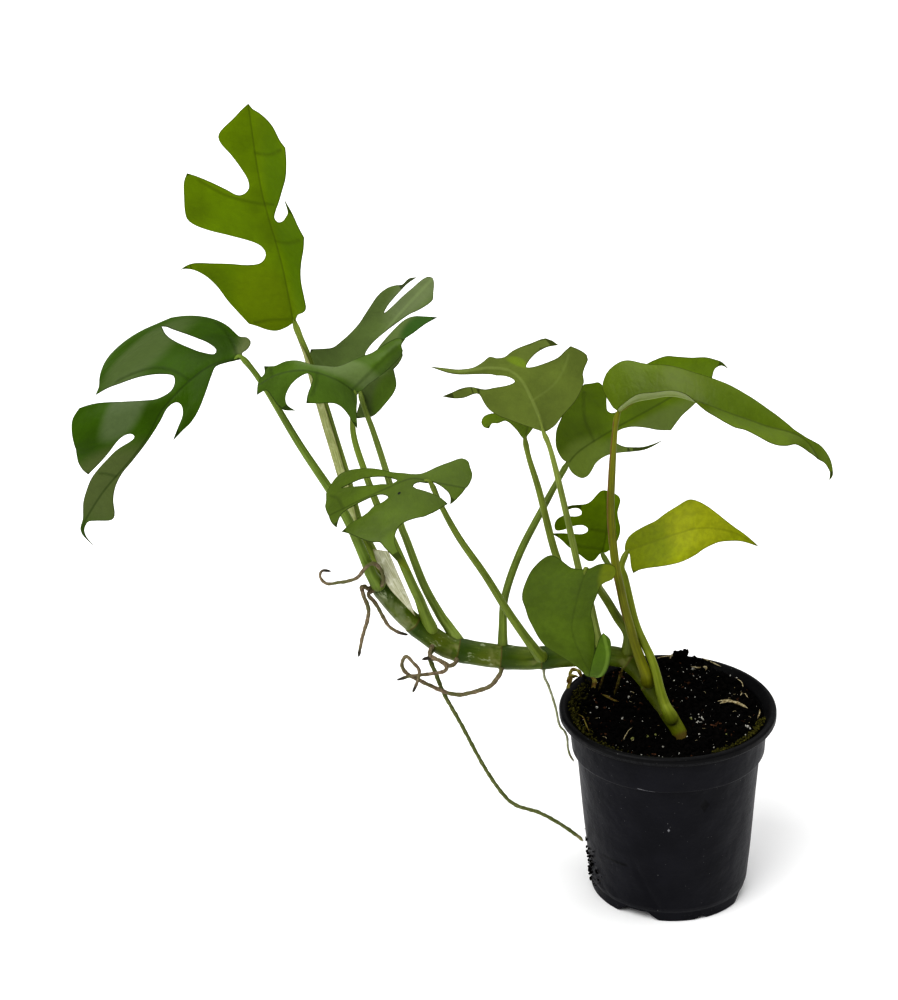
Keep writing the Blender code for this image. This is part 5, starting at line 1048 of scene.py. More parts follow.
TIP = True
LEAVES = {
    "leaf_01": dict(
        midrib=[(-177, 5, 294), (-182, 2, 325), (-190, 0, 360), (-195, 2, 399)],
        left=[(0, (-1, 0, 0.05))],
        right=[(0, (0.75, -0.6, -0.1))],
        outline=[
            (0, 0.5), (-3, 5), (-4.5, 9), (-4.2, 13), (-2.5, 17.5), (-1.5, 21, TIP), (3, 24), (10, 28.5),
            (17, 32), (22, 36), (25, 41), (25.3, 46), (23.5, 48.5, TIP), (26.8, 44.5), (28.5, 40),
            (28.8, 32), (29, 24), (28.8, 16), (30, 10), (33, 7), (36, 6.2), (39, 7.5), (41, 11),
            (43.5, 20), (46, 30), (48.5, 35.5), (51, 37.5), (55, 37.4), (62, 36), (69, 34.5),
            (73.4, 32.3, TIP), (72.3, 28.5), (69.8, 22.5), (66.5, 16), (64, 11.5), (65, 8), (68, 5.5),
            (72, 5.4), (77, 7.5), (83, 11), (88, 14.8), (91, 15.6), (94, 14), (100, 7.5), (104, 3.5),
            (107, 0, TIP), (105.3, -2), (104.5, -6), (102.5, -10.5), (100, -13.5), (95, -16.5),
            (92.5, -19.3, TIP), (86, -18.8), (78, -16.8), (72, -13.8), (68, -11.6), (64, -9.3), (59, -6),
            (54.5, -3.7), (53, -5), (54.5, -8.5), (58, -12), (61, -14), (66.5, -13.6, TIP), (61, -16.5),
            (55, -18.2), (50.3, -20, TIP), (44, -17.5), (36, -13.5), (30, -11.2), (24, -10), (16, -10),
            (11, -9.8), (8, -7.5), (5.5, -3.7), (2.5, -1.6),
        ],
    ),
    "leaf_02": dict(
        midrib=[
            (-200, -15, 285), (-213, -17, 282), (-223, -20, 276), (-231, -24, 269), (-237, -26, 262),
            (-243, -28, 251), (-252, -29, 239), (-264, -27, 224), (-274, -24, 207), (-275, -23, 200),
            (-270, -21, 192),
        ],
        left=[
            (0, (0.3, -0.8, -0.5)), (0.22, (0.15, -0.45, -0.88)), (0.39, (0.35, -0.5, -0.8)),
            (0.56, (0.7, -0.5, -0.4)), (0.87, (0.8, -0.5, -0.3)),
        ],
        right=[
            (0, (-0.1, 0.7, 0.7), (-0.2, 0, -0.2)), (0.17, (-0.55, 0.5, 0.65), (-0.15, 0, -0.3)),
            (0.39, (-0.95, 0.1, 0.3), (0, 0.05, -0.2)), (0.48, (-0.95, 0.1, 0.16), (0, 0.05, -0.15)),
            (0.61, (-0.8, 0.3, 0.3), (0, 0.03, -0.2)), (0.87, (-0.8, 0.3, 0.2)),
        ],
        outline=[
            (0, 0.4), (4, 0.6), (8, 0.8), (12.5, 1.2), (15, 4), (20, 10.5), (25, 15.5), (29.5, 17.3),
            (36, 16.5), (43.5, 15.6, TIP), (38, 13.2), (33.8, 11), (33, 7.5), (35, 4), (38, 2.2),
            (42, 1.6), (47, 2.5), (52, 2), (57, 1.2), (65, 0.9), (73, 0.9), (80, 1), (88, 3), (95, 6.5),
            (100, 10.5), (103, 11.7), (105.5, 10.5), (110, 4.5), (113, 1.3), (121, 0.9), (128, 0.3, TIP),
            (121, -0.9), (113, -1.4), (109, -3), (104, -5.3), (98, -7), (90, -8.8), (84, -9.3), (76, -9.3),
            (70, -8.9), (66, -7.6), (62, -5.5), (60, -5.6), (59, -8), (60.5, -10.5), (64, -11.6),
            (71, -11.2), (80, -11), (88.5, -11.4, TIP), (87, -15), (82.5, -20.6), (76.5, -25), (69.5, -29),
            (63, -33.5), (55.5, -39), (49, -42.3), (45.4, -41.5, TIP), (45.5, -33), (45.8, -22),
            (45, -14.5), (43, -8), (41, -5), (37, -3), (34, -2.9), (31, -4.5), (29.6, -7), (31, -11),
            (35, -20), (38, -26.5), (39.3, -31), (41.5, -36, TIP), (38, -38), (33, -43.5), (27, -50),
            (22, -55.5), (18, -58), (14, -56.5), (11, -52.5), (9, -48), (6, -45, TIP), (5.3, -41),
            (3.5, -31), (1, -19.5), (-1, -10.8), (-4, -9.3), (-5.2, -6.8), (-4.4, -4.6), (-2.2, -2.7),
            (-0.4, -1.9),
        ],
        holes=[[
            (11, -4.7), (13.2, -6), (16, -10), (17.5, -17), (17, -24), (15, -31), (12.7, -36.5),
            (11, -40.5, TIP), (11.4, -37), (12.6, -31), (13.1, -24), (12.4, -17), (10.5, -11), (9.5, -6.5),
        ]],
    ),
    "leaf_03": dict(
        midrib=[
            (-147, 12, 257), (-144, 14, 266), (-141, 18, 276), (-135, 22, 284), (-126, 28, 293),
            (-114, 36, 304),
        ],
        left=[
            (0, (0.8, -0.3, -0.3)), (0.3, (0.8, -0.4, 0.1)), (0.6, (0.7, -0.5, -0.2)), (1, (0.6, -0.4, -0.5)),
        ],
        right=[(0, (-0.9, 0.1, 0.1)), (1, (-0.75, 0.1, 0.5))],
        outline=[
            (0, 0), (-5, 1.2), (-12, 1.8), (-10.5, 5), (-8, 9), (-4, 11.4), (0, 13), (5, 15.3), (8, 15.7),
            (11, 14.2), (13.5, 12.7, TIP), (16, 15), (19, 16.2), (22, 14.4), (26, 12.2), (30, 11.2),
            (36, 12.3), (44, 13.3), (51, 15, TIP), (47.5, 10.5), (44, 6), (40, 3.9), (32, 3), (24, 2.4),
            (19, 1.4), (16, -1.5), (17.5, -2.8), (21, -2.3), (28, -0.6), (38, 2.2), (44, 3.8), (48, 5.6),
            (53, 7), (57, 7.2), (60, 5), (63.5, 2.2), (64.8, 0), (64, -2.2), (61, -3.3), (56, -3.9),
            (50, -4.7), (43, -5.3), (39, -6.1), (43, -7.1), (50, -7.2), (56, -7), (61, -5.8, TIP),
            (58.5, -8.2), (54.5, -8.6), (53, -10.5), (50, -12.8), (45, -13.9), (38, -13.2), (30, -12.5),
            (24, -13.5), (20, -15.5), (17, -18), (15.5, -22), (14, -28, TIP), (9, -27.5), (5, -22),
            (0, -17), (-4, -10), (-4, -3),
        ],
    ),
    "leaf_04": dict(
        midrib=[(-149, -8, 265), (-158, -12, 273), (-171, -14, 278), (-183, -18, 278), (-191, -22, 275)],
        left=[(0, (0.2, -0.5, -0.8)), (0.5, (0.1, -0.5, -0.85)), (1, (0, -0.5, -0.85))],
        right=[
            (-0.15, (0.72, 0.35, 0.6)), (0.04, (0.72, 0.35, 0.6)), (0.3, (0.3, 0.85, 0.3)),
            (1, (0, 0.8, 0.2)),
        ],
        outline=[
            (0, 0.5), (-0.5, 3), (1.2, 8), (2.5, 13), (3.6, 19, TIP), (6, 17), (8, 14.6), (10.5, 12.8),
            (14, 12), (18, 13), (23, 14.6), (28, 15.2, TIP), (27, 11), (25.3, 7), (24, 3.5), (25.5, 1.2),
            (30, 3), (34.5, 6.5), (37, 11), (36.5, 15), (33, 18.3, TIP), (38, 17), (41, 13.5), (43.5, 9),
            (46.5, 4.5), (51.3, 4.3, TIP), (51, 0), (50, -4), (47.8, -6), (48.3, -12.6, TIP), (45, -9.5),
            (42, -7.6), (38, -8.6), (33, -7.8), (28, -5.6), (25, -4.8), (19.5, -6), (15.5, -7.5),
            (13, -10), (11, -13.5), (9, -17), (7, -20.5), (6, -25), (5, -29.5), (3.8, -32.8),
            (1.8, -33.8, TIP), (1, -30.5), (-1.5, -29), (-3, -26.5), (-3.5, -21.5), (-3.5, -16.5),
            (-2.8, -11), (-2, -6), (-2, -2.5),
        ],
    ),
    "leaf_05": dict(
        midrib=[(-114, -40, 234), (-123, -41, 236), (-133, -44, 233), (-145, -46, 228), (-158, -46, 221)],
        left=[
            (-0.4, (0.4, -0.45, -0.8)), (-0.1, (0.3, -0.7, -0.6)), (0.1, (0.2, -0.85, -0.4), (0, 0, -0.1)),
            (1, (-0.1, -0.8, -0.5)),
        ],
        right=[(0, (0, 0.9, 0.35)), (1, (-0.1, 0.9, 0.2))],
        outline=[
            (0, -0.3), (-2, 0.1), (-4.3, 1.3), (-6.8, 4), (-7, 6.5), (-5.6, 10.6, TIP), (-8.5, 8),
            (-11, 5.5), (-14, 2.5), (-17, -1), (-19, -6), (-19.5, -10), (-18.5, -14), (-17.5, -18),
            (-14.5, -19), (-9, -15.2), (-3, -10.6), (2, -6), (5.5, -3.4), (9, -3), (13, -5.2), (18, -9),
            (22, -13), (28, -18.5), (33, -22), (38, -25), (42, -26), (45, -25), (48.5, -21),
            (50.8, -17, TIP), (51.2, -12), (52, -8), (51.5, -3), (50.3, 1.5), (48.3, 5.5), (45.7, 9, TIP),
            (45.4, 6), (44.6, 3.5), (43, 2), (38, 1.2), (32, 0.9), (28, 0.9), (24.5, 1.9), (22.3, 3.4),
            (21, 5.3), (24, 6.6), (28, 6.8), (31, 8.8), (35, 9.8), (39, 10.5), (42.8, 12.8, TIP), (40, 15),
            (36, 19), (32, 23), (29, 25.5), (26, 27), (24.5, 30), (21.5, 36), (18.5, 42), (15, 47.5, TIP),
            (17, 41), (19.3, 34), (20, 29), (19.3, 25), (17.5, 22.6), (15, 21.8), (10, 21.8), (7, 21.3),
            (4, 19), (1, 16), (-2, 13), (-4.5, 10.7, TIP), (-2.5, 8.4), (1, 6.9), (5, 6.6), (8, 6),
            (9.3, 4.6), (8.3, 3.2), (5.5, 1.8), (2.5, 1.2),
        ],
        holes=[[
            (16, -2), (19.5, -1.7), (23, -4), (28, -6.4), (33, -9.4), (38, -12.4), (43, -15.4, TIP),
            (38, -15.2), (33, -14.5), (29, -12.8), (25, -10.5), (21, -7.6), (18, -4.6),
        ]],
    ),
    "leaf_06": dict(
        midrib=[
            (-62, 0, 242), (-64, 1, 249), (-68, 3, 258), (-72, 5, 265), (-78, 6, 270), (-88, 4, 272),
            (-102, 0, 272), (-115, -4, 276),
        ],
        left=[(0, (0.95, 0.1, 0.1)), (0.4, (0.8, 0.2, 0.5)), (0.6, (0.3, 0.6, 0.7)), (1, (0.1, 0.7, 0.7))],
        right=[
            (0, (-0.95, -0.1, -0.1)), (0.35, (-0.9, -0.1, 0.1)), (0.6, (-0.3, -0.6, -0.7)),
            (1, (-0.1, -0.6, -0.7)),
        ],
        outline=[
            (0, 0.2), (0, 1.7), (2, 6), (5.5, 10.7), (10, 19), (15, 25.5), (17.5, 26.5), (19.5, 29),
            (21, 31.5), (22.5, 32), (25, 30.3), (27.5, 28, TIP), (27.2, 25), (26.5, 20), (27.2, 14),
            (28.5, 8.5), (30, 6), (31, 8), (31.7, 13), (31.2, 19), (29.7, 24, TIP), (31.5, 23.5),
            (33, 22.5), (35, 16.5), (38, 10), (39.3, 6.3), (42, 5.3), (45, 6), (47.5, 3.5), (51, 1.4),
            (57, 1), (64, 0.9), (72.5, 0, TIP), (64, -1), (55, -1.7), (47, -2.7), (40, -3.5), (36, -4.7),
            (32, -4.7), (28, -3.3), (26, -3.2), (24.5, -5), (23, -9), (21.8, -15), (20.9, -20),
            (21.8, -26), (21, -31), (19.3, -36), (17.8, -41, TIP), (17, -36), (17.3, -31), (18.8, -26),
            (18.8, -23.5), (15, -22.7), (12, -21.5), (9, -18), (8, -16), (5.5, -11), (3, -6), (1, -2),
        ],
    ),
    "leaf_07": dict(
        midrib=[(-70, 15, 232), (-67, 17, 246), (-63, 20, 262)],
        left=[(0, (-1, 0, 0))],
        right=[(0, (1, 0, 0))],
        outline=[
            (0, 0.5), (5, 5.5), (9, 11), (7.7, 14.5), (7.7, 17.2), (5.2, 18, TIP), (5.8, 20.5),
            (8.3, 22.3), (11, 21.8), (12.4, 19.5), (13.5, 15), (20, 13), (26, 9), (31, 4), (34, 0, TIP),
            (30, -4), (24, -6.5), (17, -7), (10, -5), (5, -2.5), (2, -1),
        ],
    ),
    "leaf_08": dict(
        midrib=[(-49, 30, 213), (-43, 30, 220), (-28, 31, 230), (-10, 33, 240), (8, 33, 251), (26, 30, 261)],
        left=[(0, (-0.6, 0, 0.8)), (1, (-0.4, 0.2, 0.9))],
        right=[(0, (0.6, -0.1, -0.8)), (1, (0.4, -0.1, -0.9))],
        outline=[
            (0, 0.6), (-0.8, 3), (-0.5, 7), (1, 11), (5, 15), (9, 17.5), (15, 21), (22, 24.5),
            (28, 26.5, TIP), (31, 25), (34, 23.5), (34.3, 18), (31.5, 12.5), (30.2, 9.5), (31.3, 7.3),
            (34, 6.8), (38, 9), (42, 13.5), (46, 17.5), (51, 19.7), (57, 19.9), (62, 19.4), (66, 18.5),
            (70, 16), (76, 12.5), (82, 10), (86, 7), (88.5, 4.5), (90, 0.5, TIP), (87.5, 3.3), (84, 3),
            (81.3, 0), (79, -3), (72, -7), (65.5, -9.2), (60, -10.5), (55, -12.5), (51.3, -14.2, TIP),
            (46, -11), (41, -6.8), (36, -3.5), (31.5, -2), (28, -2), (25.5, -3.2), (25.2, -5.5), (26, -8),
            (28, -10.5), (31, -12.5), (35, -14.7), (40, -15.9), (45.5, -16.5, TIP), (40, -16.8),
            (35, -16.3), (30, -14.4), (24, -11.5), (20, -9.8), (15, -9.2), (11, -9.8), (8, -11.2),
            (4.5, -11.8), (1, -10), (-1, -5.5), (-1, -2.2),
        ],
    ),
    "leaf_09": dict(
        midrib=[
            (-28, -5, 254), (-21, -7, 260), (-13, -10, 263), (-4, -14, 266), (6, -18, 265), (20, -22, 261),
            (38, -24, 255), (57, -22, 247), (70, -20, 225),
        ],
        left=[(0, (-0.3, 0.6, 0.75)), (0.3, (0, 0.65, 0.75)), (1, (0.3, 0.6, 0.7))],
        right=[
            (0, (0.1, -0.8, 0.6)), (0.3, (0, -0.85, 0.5)), (0.42, (-0.1, -0.9, -0.3)),
            (1, (-0.2, -0.8, -0.5)),
        ],
        outline=[
            (0, 0.5), (-1.5, 3), (-2.3, 6), (-3.2, 10), (-3.5, 14), (-1.5, 17), (2, 19.5), (8, 20.2),
            (12, 19.5), (17, 17.3), (22, 15.6), (30, 14.2), (40, 13.6), (48, 13.8), (56, 13.5), (65, 11.5),
            (72, 9.3), (78, 7), (84, 4), (89, 1.8), (95, 1.6), (100, 3.3), (106, 6), (112, 7.5),
            (117, 7.3), (120.7, 4), (119.5, 0.3, TIP), (118.4, 3.2), (117, 3.5), (113, 3), (108, 0.5),
            (103, -2), (98, -4.3), (93, -5.3), (90, -5.8), (86, -8.5), (82, -9.8), (78, -9.7), (72, -8.3),
            (65, -7.2), (60, -8), (56, -7.3), (50, -6.2), (45, -7.5), (40, -9.5), (34, -11), (26, -12),
            (18, -13), (10, -14), (3, -14), (-1, -11), (-1.5, -6), (0, -2),
        ],
    ),
    "leaf_10": dict(
        midrib=[(-32, 25, 168), (-30, 26, 180), (-30, 27, 190), (-31, 28, 199)],
        left=[(0, (-1, 0, 0))],
        right=[(0, (1, 0, 0))],
        outline=[
            (0.3, 0.5), (-2, 2), (-4, 3.5), (-4, 6), (-2, 9), (1, 13), (3.5, 17), (7, 21), (9, 24),
            (10.2, 26.5, TIP), (10.4, 22), (10.1, 16), (9.9, 11.5), (11.2, 9.1), (13.2, 9.3), (14.6, 12),
            (14, 16.5), (12.3, 20.5), (11.8, 24), (13.5, 25.2), (16, 25), (18.2, 23.3), (19.6, 20.5, TIP),
            (19, 17.5), (19, 14.5), (20, 12.3), (21.5, 12.2), (23, 13.5), (23.2, 16), (22.4, 18.6),
            (21.2, 21.5, TIP), (23.3, 20), (24.4, 17.5), (24.8, 14), (25.2, 10), (26.5, 7.5), (29, 5),
            (31.5, 2.5), (32.2, 0.5), (31.6, -2), (30.5, -4.5), (29, -6.3), (27, -6.8), (24.5, -6),
            (21, -5), (17, -5.5), (13, -6.5), (9, -6.5), (5, -5.5), (2, -3.5), (0.3, -1.5),
        ],
    ),
    "leaf_11": dict(
        midrib=[(-21, 10, 176), (-6, 8, 183), (13, 8, 189), (30, 9, 186), (42, 10, 178)],
        left=[(0, (0, 0.6, 0.8))],
        right=[(0, (0, -0.6, -0.8))],
        outline=[
            (-1, 0.8), (-1, 3), (0, 5.5), (2, 7.3), (5, 8.3), (10, 9.1), (15, 9.7), (20, 11.7), (26, 13.3),
            (31.5, 14.8), (35, 13.8), (40, 11), (45, 7.7), (50, 4.7), (55, 2.5), (60, 1.6), (65, 1),
            (68, 0.3, TIP), (64, -0.8), (58, -2.6), (52, -4.4), (46, -6.3), (42, -8.3), (38, -10.5),
            (35, -12.4), (31, -13.8), (27, -14.3), (22, -13.9), (16, -12.9), (10, -11.7), (6, -11.2),
            (3.2, -11.7, TIP), (2.2, -9), (1.8, -6), (1.4, -2), (0.5, -0.5),
        ],
    ),
    "leaf_12": dict(
        midrib=[
            (-43, -40, 190), (-47, -42, 175), (-49, -45, 162), (-45, -49, 151), (-39, -53, 142),
            (-35, -57, 146), (-33, -58, 155), (-35, -56, 165),
        ],
        left=[(0, (1, 0, 0))],
        right=[(0, (-1, 0, 0))],
        outline=[
            (0, -0.5), (-0.7, 2), (-2.5, 5), (-3, 9), (-1.5, 13), (2, 14.5), (5, 13.5), (6.3, 11),
            (8, 9.3), (12, 8.9), (18, 8), (22, 8.1), (27, 9.8), (32, 10.2), (36, 9), (41, 6.7), (46, 4),
            (50, 2.4), (56, 2), (62, 1.6), (68, 1.5), (73, 1.9), (78, 2.4), (81, 0, TIP), (79, -2),
            (75, -4.2), (70, -6.4), (65, -6.8), (60, -5.8), (55, -4), (50, -3.9), (46, -6.8), (42, -10.5),
            (38, -14.3), (34, -16), (29, -17.7), (24, -20.5), (19, -23), (15, -25.2), (11, -26),
            (6, -25.8), (1, -25), (-3, -23), (-6, -20.5), (-7.2, -18), (-6.5, -15.5), (-4, -11.5),
            (-1, -7), (-0.3, -3.5),
        ],
    ),
}
# Patches: most are painted sheen where a blade catches the light, painted light that lifts lobes lying in
# shade, and painted shade that darkens lit ones
LEAF_SKINS = {
    "leaf_01": dict(
        # Painted shade on the right half, which lies in shade, and painted light on the left; the bright
        # yellow-green stands partly for light shining through the blade
        slot="leaf_light", upper=(96, 117, 0), under=(96, 110, 44), gloss=0.45, shiny=0.08,
        tint_and_painted_light_patches=(
            (1, 50, -12, 60, 12, 0, (82, 106, 0), 0.8), (1, 40, 18, 30, 14, 0, (106, 130, 2), 0.35),
            (1, 12, 12, 22, 16, 0, (104, 120, 0), 0.6),
        ),
    ),
    "leaf_02": dict(
        slot="leaf_dark", upper=(54, 80, 0), under=(92, 104, 50), gloss=0.42, shiny=0.12,
        tint_and_painted_light_patches=(
            (1, 88, 0, 30, 24, 0, (82, 92, 52), 0.9), (1, 24, -31, 22, 14, 15, (82, 96, 56), 0.9),
            (1, 50, -16, 17, 10, 0, (88, 101, 68), 0.85), (1, -5, -5, 10, 8, 0, (98, 106, 68), 0.9),
            (1, 9, -9, 12, 8, 0, (48, 72, 0), 0.9),
        ),
    ),
    "leaf_03": dict(
        slot="leaf_under", upper=(56, 84, 4), under=(92, 108, 58), gloss=0.44, veined=0.35, ribbed=0.3,
        tint_and_painted_light_patches=(
            (0, 40, 12, 14, 7, 0, (48, 84, 14), 0.9), (0, 2, 12, 12, 7, 0, (90, 118, 14), 0.6),
            (0, 58, -2, 26, 9, 0, (118, 128, 94), 0.5),
        ),
    ),
    "leaf_04": dict(
        slot="leaf_dark", upper=(76, 99, 30), under=(84, 99, 44), gloss=0.40,
        tint_and_painted_light_patches=((1, 12, -8, 26, 7, 0, (104, 118, 76), 0.7),),
    ),
    "leaf_05": dict(
        slot="leaf_dark", upper=(80, 97, 30), under=(86, 102, 44), gloss=0.42,
        tint_and_painted_light_patches=(
            # Painted light: the lower tip, which turns down into shade, is lightened on both faces
            (1, 15.5, 47, 5.5, 10, 20, (132, 146, 36), 0.9), (0, 15.5, 47, 5.5, 10, 20, (132, 146, 36), 0.9),
            (1, 21, 31, 6, 8, 0, (90, 110, 26), 0.6), (1, 15.8, 6, 0.9, 0.8, 0, (22, 26, 14), 1.0),
        ),
    ),
    "leaf_06": dict(
        slot="leaf_under", upper=(70, 92, 8), under=(96, 108, 46), gloss=0.44, veined=0.35, ribbed=0.32,
        tint_and_painted_light_patches=((0, 34, 6, 5, 2.5, 0, (112, 132, 30), 0.7),),
    ),
    "leaf_07": dict(slot="leaf_dark", upper=(100, 120, 22), under=(100, 116, 44)),
    "leaf_08": dict(
        slot="leaf_dark", upper=(92, 112, 10), under=(104, 116, 58), gloss=0.40,
        tint_and_painted_light_patches=(
            (1, 40, -9, 40, 8, 0, (104, 118, 60), 0.85), (1, 4, -4, 20, 12, 0, (114, 130, 56), 0.9),
        ),
    ),
    "leaf_09": dict(
        slot="leaf_light", upper=(89, 106, 16), under=(118, 130, 72), gloss=0.40,
        tint_and_painted_light_patches=(
            (1, 34, 6, 16, 10, 0, (94, 108, 38), 0.7), (1, 62, 3, 22, 12, 0, (78, 96, 8), 0.6),
        ),
    ),
    "leaf_10": dict(slot="leaf_dark", upper=(92, 112, 0), under=(84, 102, 16), shiny=0.1, mottled=0.35),
    "leaf_11": dict(
        slot="leaf_yellow", upper=(126, 133, 12), under=(116, 124, 26), gloss=0.46, veined=0.25, shiny=0.12,
        mottled=0.55,
        tint_and_painted_light_patches=(
            (1, 4, -3, 24, 20, 0, (100, 112, 8), 0.7), (1, 62, 0, 24, 16, 0, (118, 126, 12), 0.5),
            (1, 36, 2, 18, 14, 0, (138, 142, 30), 0.6),
        ),
    ),
    "leaf_12": dict(
        slot="leaf_dark", upper=(76, 93, 24), under=(70, 92, 16), gloss=0.40, veined=0.22, mottled=0.35,
        tint_and_painted_light_patches=((1, 1, 12, 12, 6, 0, (104, 114, 16), 0.85),),
    ),
}
blades = {}
for name, leaf in LEAVES.items():
    skin = dict(LEAF_SKINS[name])
    slot, number = skin.pop("slot"), name[-2:]
    made, blades[name] = blade_piece("blade_" + number, leaf, leaf_look("leaf_skin_" + number, **skin))
    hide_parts(name)


# Leaf stalks: round green stalks that the plant grew from the joints of its stem; each clasps the stem
# with a widened base, thins upward, and runs on as the midrib of its blade.
STALKS = {
    "petiole_01": dict(
        foot=187, tints=((92, 108, 30), (134, 148, 66)),
        radii=[3.0, 2.6, 2.3, 2.1, 1.9, 1.3],
        way=[
            (-142.6, 6, 176), (-147.5, 5.5, 188), (-151, 5, 202), (-154.5, 5, 218), (-159.5, 5, 237),
            (-164, 5, 254), (-168.5, 5, 268), (-171.5, 5, 279), (-174.5, 5, 287.5),
        ],
    ),
    "petiole_02": dict(
        foot=183, tints=((88, 108, 28), (124, 144, 62)),
        radii=[2.6, 2.4, 2.1, 1.8, 1.6, 1.2],
        way=[
            (-142.6, -7.6, 172.6), (-144.4, -8.6, 178.5), (-148.9, -9.5, 190.9), (-153.5, -10, 202.5),
            (-161, -11, 217), (-175, -12, 241), (-190, -14, 270),
        ],
    ),
    "petiole_03": dict(
        foot=131, tints=((96, 112, 36), (136, 152, 76)),
        radii=[2.4, 2.0, 1.8, 1.6, 1.5, 1.1],
        way=[
            (-106, 5.5, 138), (-110, 6.5, 144), (-118, 7.5, 160), (-126, 8, 183), (-129, 8, 192),
            (-135, 6, 218), (-141, 4, 240), (-145, 6, 251),
        ],
    ),
    "petiole_04": dict(
        foot=147, tints=((94, 110, 32), (128, 146, 60)),
        radii=[2.6, 2.2, 1.9, 1.65, 1.5, 1.1],
        way=[
            (-117.9, -2.5, 150.5), (-119.9, -6, 158.5), (-123.6, -9.5, 169), (-132, -11, 191),
            (-139, -11, 209), (-145, -11, 227), (-150, -10, 246),
        ],
    ),
    "petiole_05": dict(
        foot=92.5, tints=((90, 106, 24), (126, 142, 52)),
        radii=[2.4, 2.0, 1.8, 1.65, 1.5, 1.1],
        way=[(-64, -9, 132), (-77, -18, 156), (-89, -27, 181), (-101, -34, 203), (-109, -37, 220)],
    ),
    "petiole_06": dict(
        foot=64, tints=((110, 124, 48), (144, 156, 80)),
        radii=[2.0, 1.7, 1.6, 1.5, 1.4, 1.0],
        way=[(-35, -3, 138), (-40, -3, 161), (-44, -2, 171), (-51, -1, 202), (-58, 0, 231)],
    ),
    "petiole_07": dict(
        foot=71, tints=((98, 110, 34), (130, 144, 62)),
        radii=[2.2, 1.9, 1.8, 1.7, 1.5, 1.1],
        way=[(-43, 6, 138), (-50, 10, 160), (-56, 13, 177), (-63, 15, 205), (-68, 15, 222)],
    ),
    "petiole_08": dict(
        foot=112, tints=((90, 106, 34), (124, 140, 64)),
        radii=[2.1, 1.8, 1.8, 1.75, 1.6, 1.2],
        way=[(-80, 4, 137), (-79, 8, 153), (-72, 16, 172), (-61, 24, 192), (-53, 29, 206)],
    ),
    "petiole_09": dict(
        foot=36, tints=((92, 94, 8), (124, 126, 18)),
        radii=[2.6, 2.2, 2.0, 1.9, 1.7, 1.2],
        way=[
            (-11.5, -11.5, 120.5), (-14.5, -9.5, 128), (-17.5, -8, 136.5), (-20, -7.5, 145.5),
            (-22.5, -7, 154.5), (-24.5, -6.5, 163.5), (-27.5, -6, 178), (-30, -6, 201), (-30, -5, 220),
            (-29, -5, 245),
        ],
    ),
    "petiole_10": dict(
        foot=50, tints=((78, 94, 22), (108, 122, 42)),
        radii=[2.0, 1.7, 1.5, 1.4, 1.3, 1.0],
        way=[
            (-16.5, 6, 127.5), (-17.5, 7, 133), (-19, 9.5, 140), (-21, 12.5, 146.5), (-23, 15.5, 153),
            (-25, 18.5, 158.5), (-28.5, 21, 163),
        ],
    ),
    "petiole_11": dict(
        foot=14, tints=((100, 112, 20), (134, 144, 46)),
        radii=[2.6, 2.2, 2.0, 1.9, 1.7, 1.2],
        way=[
            (-1, -18.5, 104.5), (-3, -17, 108.5), (-5, -15, 114.5), (-7, -13, 122.5), (-9.5, -9.5, 129),
            (-12.5, -6, 134.5), (-15.5, -2, 140), (-17.5, 1, 145.5), (-19, 3, 151.5), (-20.5, 4.5, 158),
            (-22, 6, 164.5), (-23.5, 7.5, 169.5),
        ],
    ),
    "petiole_12": dict(
        foot=52, tints=((84, 96, 24), (116, 128, 48)),
        radii=[2.6, 2.2, 2.0, 1.9, 1.7, 1.2],
        way=[
            (-19.5, -1, 134), (-21, -1.5, 140), (-25.5, -2.5, 147), (-30.5, -9.5, 158.5), (-35, -20, 170),
            (-39, -29, 180), (-42, -35, 186),
        ],
    ),
}


def stalk_look(name, dark, light, red_edge=0.0):
    """Stalk skin: smooth and satin, in fine lengthwise lines, a little corky at the foot."""
    made, start = new_look(name)
    place = millimetres(start)
    along = read(start, "along")
    lines = read(start, "skin", "Vector").vector("MULTIPLY", (2.2, 2.2, 0.035)).noise(1.4, 3.0, 0.55)
    green = lines.step(0.2, 0.8).blend(paint(*dark), paint(*light))
    green = place.noise(0.07, 2.0).step(0.4, 0.7).blend(green, green.shade(0.78))
    green = (along.step(9.0, 1.5) * 0.5).blend(green, paint(86, 88, 30))
    if red_edge:
        side = place.node("ShaderNodeNewGeometry", {}, {}, "Normal").axis(0)
        patch = along.step(34.0, 44.0) * place.noise(0.09, 2.0).step(0.40, 0.55)
        green = (side.step(-0.5, -0.9) * patch * red_edge).blend(green, paint(104, 66, 24))
    bumps = start.bump(lines, 0.04)
    bumps = start.bump(place.noise(0.8, 3.0), 0.1, bumps)
    return dress(made, Base_Color=green, Roughness=0.40 + lines * 0.12, Normal=bumps, Specular_IOR_Level=0.26)


